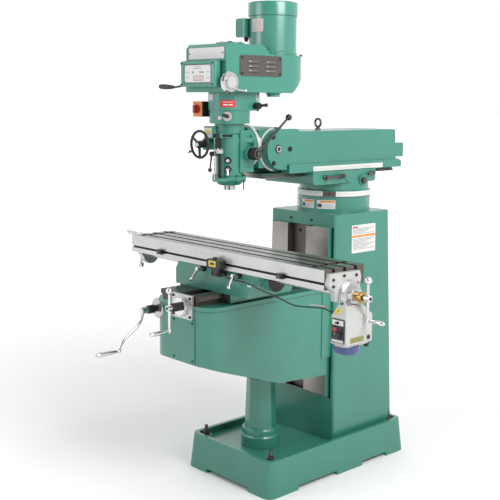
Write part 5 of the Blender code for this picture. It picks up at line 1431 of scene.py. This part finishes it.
def make_table_details():
    end = Shape()
    face = -0.5343
    end.screws(grid("X", face, (-0.573, -0.478), (1.052, 1.088)), LEFT, 0.0072)
    dial_ticks(end.use(1), "X", LEAD, 0.03, -0.5375, -0.5445, 60, 5)
    end.use(2).washer((-0.5464, *LEAD), LEFT, 0.015, 0.027, 0.0, 0.001)
    end.piece("table_end_fittings", "table", [BLACK_OXIDE, INK, DARK_STEEL], "black_oxide_steel")
    for name, x in (("stop_dog_left", -0.272), ("stop_dog_right", 0.512)):
        bolt = Shape()
        bolt.hex_bolt((x, -0.6572, 1.072), FRONT, 0.0068)
        bolt.piece(name + "_bolt", name, DARK_STEEL, "dark_steel")
    for side, size in (
        ("left", (0.088, 0.062, 1, -0.5875, -0.705)), ("right", (0.07, 0.085, -1, 0.8608, 0.944)),
    ):
        crank = ball_crank("X", LEAD, *size)
        name = "table_crank_" + side
        crank.piece("table_handle_" + side, "lead_screw", [CHROME, BLACK_OXIDE], "chrome", stands_for=name)


# ---------------------------------------------------------------- power feed


def make_power_feed_details():
    plate = Shape()
    for y, z in ((-0.614, 1.088), (-0.553, 1.098), (-0.482, 1.093), (-0.613, 1.062), (-0.474, 1.06)):
        plate.use(0).lathe((0.7622, y, z), RIGHT, [(0, 0.0075), (0.0016, 0.0075), (0.0018, 0.0066)], 40)
        plate.use(1).lathe((0.7642, y, z), RIGHT, [(0, 0.006), (0.003, 0.006), (0.0042, 0.005)], 32)
        plate.use(2).lathe((0.7685, y, z), RIGHT, [(0, 0.003), (0.0002, 0.003)], 6)
    plate.piece("plate_bolts", "table", [SATIN_SILVER, BLACK_OXIDE, INK], "black_oxide_steel")
    rings = Shape()
    rings.turned("X", LEAD, [(0.7622, 0.0595), (0.77, 0.0595), (0.7712, 0.0583), (0.7765, 0.0583)], 96)
    rings.turned("X", LEAD, [(0.7766, 0.056), (0.779, 0.0535), (0.7812, 0.051)], 96)
    rings.turned(
        "X", LEAD, [(0.7818, 0.0485), (0.786, 0.0365), (0.8, 0.035), (0.8062, 0.0338), (0.8072, 0.032)], 96,
    )
    rings.piece("feed_dial_rings", "table", SATIN_SILVER, "ground_steel", angle=25)
    collar = Shape()
    profile = [
        (0.8074, 0.0165), (0.8082, 0.0175), (0.824, 0.0175), (0.825, 0.016), (0.8262, 0.0215),
        (0.84, 0.0215),
    ]
    collar.use(0).turned("X", LEAD, profile + [(0.841, 0.0205)], 64)
    for tick in range(32):
        out, _ = spoke("X", 360 * tick / 32)
        spot = Vector((0.8331, *LEAD)) + 0.0215 * out
        collar.slab(spot, out.cross(Vector(RIGHT)), RIGHT, 0.0016, 0.012, 0.0007, 0.0003)
    collar.use(1).turned("X", LEAD, [(0.8412, 0.013), (0.8474, 0.013)], 48)
    collar.piece("lead_screw_collar", "lead_screw", [BRASS, DARK_STEEL], "bronze")
    front = -0.6282
    panel = Shape()
    panel.use(0).front_slab((0.806, front, 0.901), 0.066, 0.092, 0.003, 0.004)
    level = front - 0.0031
    panel.use(1).front_slab((0.806, level, 0.933), 0.056, 0.02, 0.0004, 0.002)
    panel.use(2).front_slab((0.806, level, 0.906), 0.056, 0.026, 0.0004, 0.002)
    panel.use(3).front_slab((0.793, level - 0.0004, 0.906), 0.02, 0.014, 0.003, 0.002)
    panel.use(2).front_slab((0.8215, level - 0.0004, 0.906), 0.012, 0.015, 0.0022, 0.002)
    panel.use(1).front_slab((0.806, level, 0.862), 0.056, 0.009, 0.0004, 0.001)
    panel.use(4)
    for tick in range(11):
        out, side = spoke("Y", -45 + 27 * tick)
        panel.slab(Vector((0.806, level, 0.885)) + out * 0.0212, out, side, 0.003, 0.0009, 0.0003, 0.0002)
    panel.use(5).screws(grid("Y", level, (0.778, 0.834), (0.8605, 0.942)), FRONT, 0.0024)
    names = [BLACK_PLASTIC, LABEL_WHITE, BLACK_PLASTIC, RED_PLASTIC, LABEL_GREY, SATIN_SILVER]
    panel.piece("feed_panel", "table", names, "black_plastic")
    toggle = Shape()
    toggle.use(0).lathe(
        (0.806, level - 0.0004, 0.933), FRONT, [(0, 0.0062), (0.003, 0.0062), (0.005, 0.0046)], 32,
    )
    toggle.use(0).swept(
        [(0.806, level - 0.004, 0.933), (0.806, level - 0.012, 0.9345), (0.806, level - 0.0165, 0.9355)],
        [0.003, 0.0034, 0.0026],
    )
    toggle.piece("feed_toggle", "table", BLACK_PLASTIC, "black_plastic")
    labels = Shape()
    slope = Vector((0, 0.038, 0.038)).normalized()
    spot = Vector((0.787, -0.6095, 0.9705)) + Vector((0, -0.0005, 0.0005))
    labels.use(0).slab(spot, RIGHT, slope, 0.024, 0.024, SHEET_LIFT, 0.003)
    labels.use(2).slab(spot + Vector((0, -0.0004, 0.0004)), RIGHT, slope, 0.004, 0.013, 0.0002, 0.001)
    labels.use(4).slab((0.785, -0.5855, 0.9965), RIGHT, (0, 0.012, 0.015), 0.014, 0.01, 0.0012, 0.002)
    right = 0.8452
    labels.use(1).slab((right, -0.564, 0.864), BACK, UP, 0.078, 0.021, SHEET_LIFT, 0.002)
    for row in range(3):
        labels.use(2).slab(
            (right + SHEET_LIFT, -0.568, 0.858 + 0.0055 * row), BACK, UP, 0.062, 0.0016, 0.0002, 0.0004,
        )
    labels.use(3).lathe(
        (right, -0.498, 0.864), RIGHT, [(0, 0.009), (0.002, 0.009), (0.003, 0.007), (0.005, 0.006)], 32,
    )
    labels.use(3).lathe(
        (0.83, -0.492, 0.8372), DOWN, [(0, 0.012), (0.006, 0.012), (0.008, 0.0095), (0.014, 0.0085)], 32,
    )
    names = [LABEL_YELLOW, LABEL_OLIVE, INK, BLACK_OXIDE, BLUE_CAST]
    labels.piece("feed_labels", "table", names)
    knob = Shape()
    knob.use(0).turned("Y", FEED_KNOB, [(-0.634, 0.005), (-0.6025, 0.005)], 24)
    profile = [(-0.648, 0.013), (-0.647, 0.0142), (-0.635, 0.016), (-0.6335, 0.018), (-0.632, 0.018)]
    knob.knurled("Y", FEED_KNOB, profile, 60, 0.0008, lambda step, radius: step % 4 < 2 and radius < 0.017)
    knob.use(1).front_slab((0.806, -0.6481, 0.8935), 0.0016, 0.008, 0.0003, 0.0003)
    knob.piece(
        "feed_rate_knob", "feed_knob", [BLACK_PLASTIC, LABEL_WHITE], "black_plastic",
        stands_for="feed_knob",
    )
    motor = Shape()
    centre = (0.8, -0.572)
    profile = [
        (0.806, 0.038), (0.8068, 0.0405), (0.809, 0.0455), (0.813, 0.048), (0.82, 0.0498), (0.837, 0.0498),
    ]
    motor.use(0).turned("Z", centre, profile, 96)
    for turn in (-60, 0, 60, 120, 180, 240):
        spot = (*polar(centre, 0.03, turn), 0.806)
        motor.use(1).lathe(spot, DOWN, [(0, 0.0042), (0.003, 0.0042), (0.0036, 0.0034)], 24)
    motor.piece(
        "feed_motor_base", "table", [BLUE_CAST, BLACK_OXIDE], "blue_aluminium",
        stands_for="power_feed_motor",
    )


make_knee_details()
make_saddle_details()
make_table_details()
make_power_feed_details()

# ---------------------------------------------------------------- light and floor


FLOOR_HALF = 90.0


def area_light(name, place, target, size, power, colour):
    light = bpy.data.lights.new(name, "AREA")
    light.shape = "SQUARE"
    light.size = size
    light.energy = power
    light.color = colour
    made = bpy.data.objects.new(name, light)
    made.location = place
    aim = Vector(target) - Vector(place)
    made.rotation_euler = aim.to_track_quat("-Z", "Y").to_euler()
    bpy.context.scene.collection.objects.link(made)


def make_floor():
    mesh = bpy.data.meshes.new("floor")
    far = FLOOR_HALF
    mesh.from_pydata([(-far, -far, 0), (far, -far, 0), (far, far, 0), (-far, far, 0)], [], [(0, 1, 2, 3)])
    graph = Graph("pale_floor")
    tone = graph.mix(graph.noise(0.8, 2.0), (0.86, 0.86, 0.86), (0.88, 0.88, 0.88))
    graph.links.new(tone, graph.shader.inputs["Base Color"])
    graph.shader.inputs["Roughness"].default_value = 0.7
    distance = graph.nodes.new("ShaderNodeVectorMath")
    distance.operation = "LENGTH"
    graph.links.new(graph.place, distance.inputs[0])
    glow = graph.span(distance.outputs["Value"], 1.2, 5.0, 0.0, 0.45)
    graph.shader.inputs["Emission Color"].default_value = (1.0, 1.0, 1.0, 1.0)
    graph.links.new(glow, graph.shader.inputs["Emission Strength"])
    mesh.materials.append(graph.material)
    floor = bpy.data.objects.new("floor", mesh)
    bpy.context.scene.collection.objects.link(floor)


def make_world():
    world = bpy.data.worlds.new("studio")
    world.use_nodes = True
    nodes, links = world.node_tree.nodes, world.node_tree.links
    background = nodes["Background"]
    background.inputs["Color"].default_value = (1.0, 1.0, 1.0, 1.0)
    lean = nodes.new("ShaderNodeVectorMath")
    lean.operation = "DOT_PRODUCT"
    lean.inputs[1].default_value = (-0.73, 0.68, 0.25)
    coordinates = nodes.new("ShaderNodeTexCoord")
    links.new(coordinates.outputs["Generated"], lean.inputs[0])
    spread = nodes.new("ShaderNodeMapRange")
    spread.interpolation_type = "SMOOTHSTEP"
    for name, value in (("From Min", -0.75), ("From Max", 0.65), ("To Min", 0.26), ("To Max", 1.0)):
        spread.inputs[name].default_value = value
    links.new(lean.outputs["Value"], spread.inputs["Value"])
    height = nodes.new("ShaderNodeSeparateXYZ")
    links.new(coordinates.outputs["Generated"], height.inputs[0])
    haze = nodes.new("ShaderNodeMapRange")
    haze.interpolation_type = "SMOOTHSTEP"
    for name, value in (("From Min", 0.1), ("From Max", 0.24), ("To Min", 1.0), ("To Max", 0.0)):
        haze.inputs[name].default_value = value
    links.new(height.outputs["Z"], haze.inputs["Value"])
    brightest = nodes.new("ShaderNodeMath")
    brightest.operation = "MAXIMUM"
    links.new(spread.outputs["Result"], brightest.inputs[0])
    links.new(haze.outputs["Result"], brightest.inputs[1])
    links.new(brightest.outputs["Value"], background.inputs["Strength"])
    bpy.context.scene.world = world


bpy.context.scene.view_settings.view_transform = "Standard"
make_floor()
make_world()
area_light("key", (3.4, -0.5, 3.4), (0.0, -0.1, 1.2), 2.2, 170.0, (1.0, 0.99, 0.97))
area_light("front_fill", (-1.8, -4.2, 2.8), (0.0, -0.3, 1.2), 2.0, 55.0, (0.97, 0.99, 1.0))
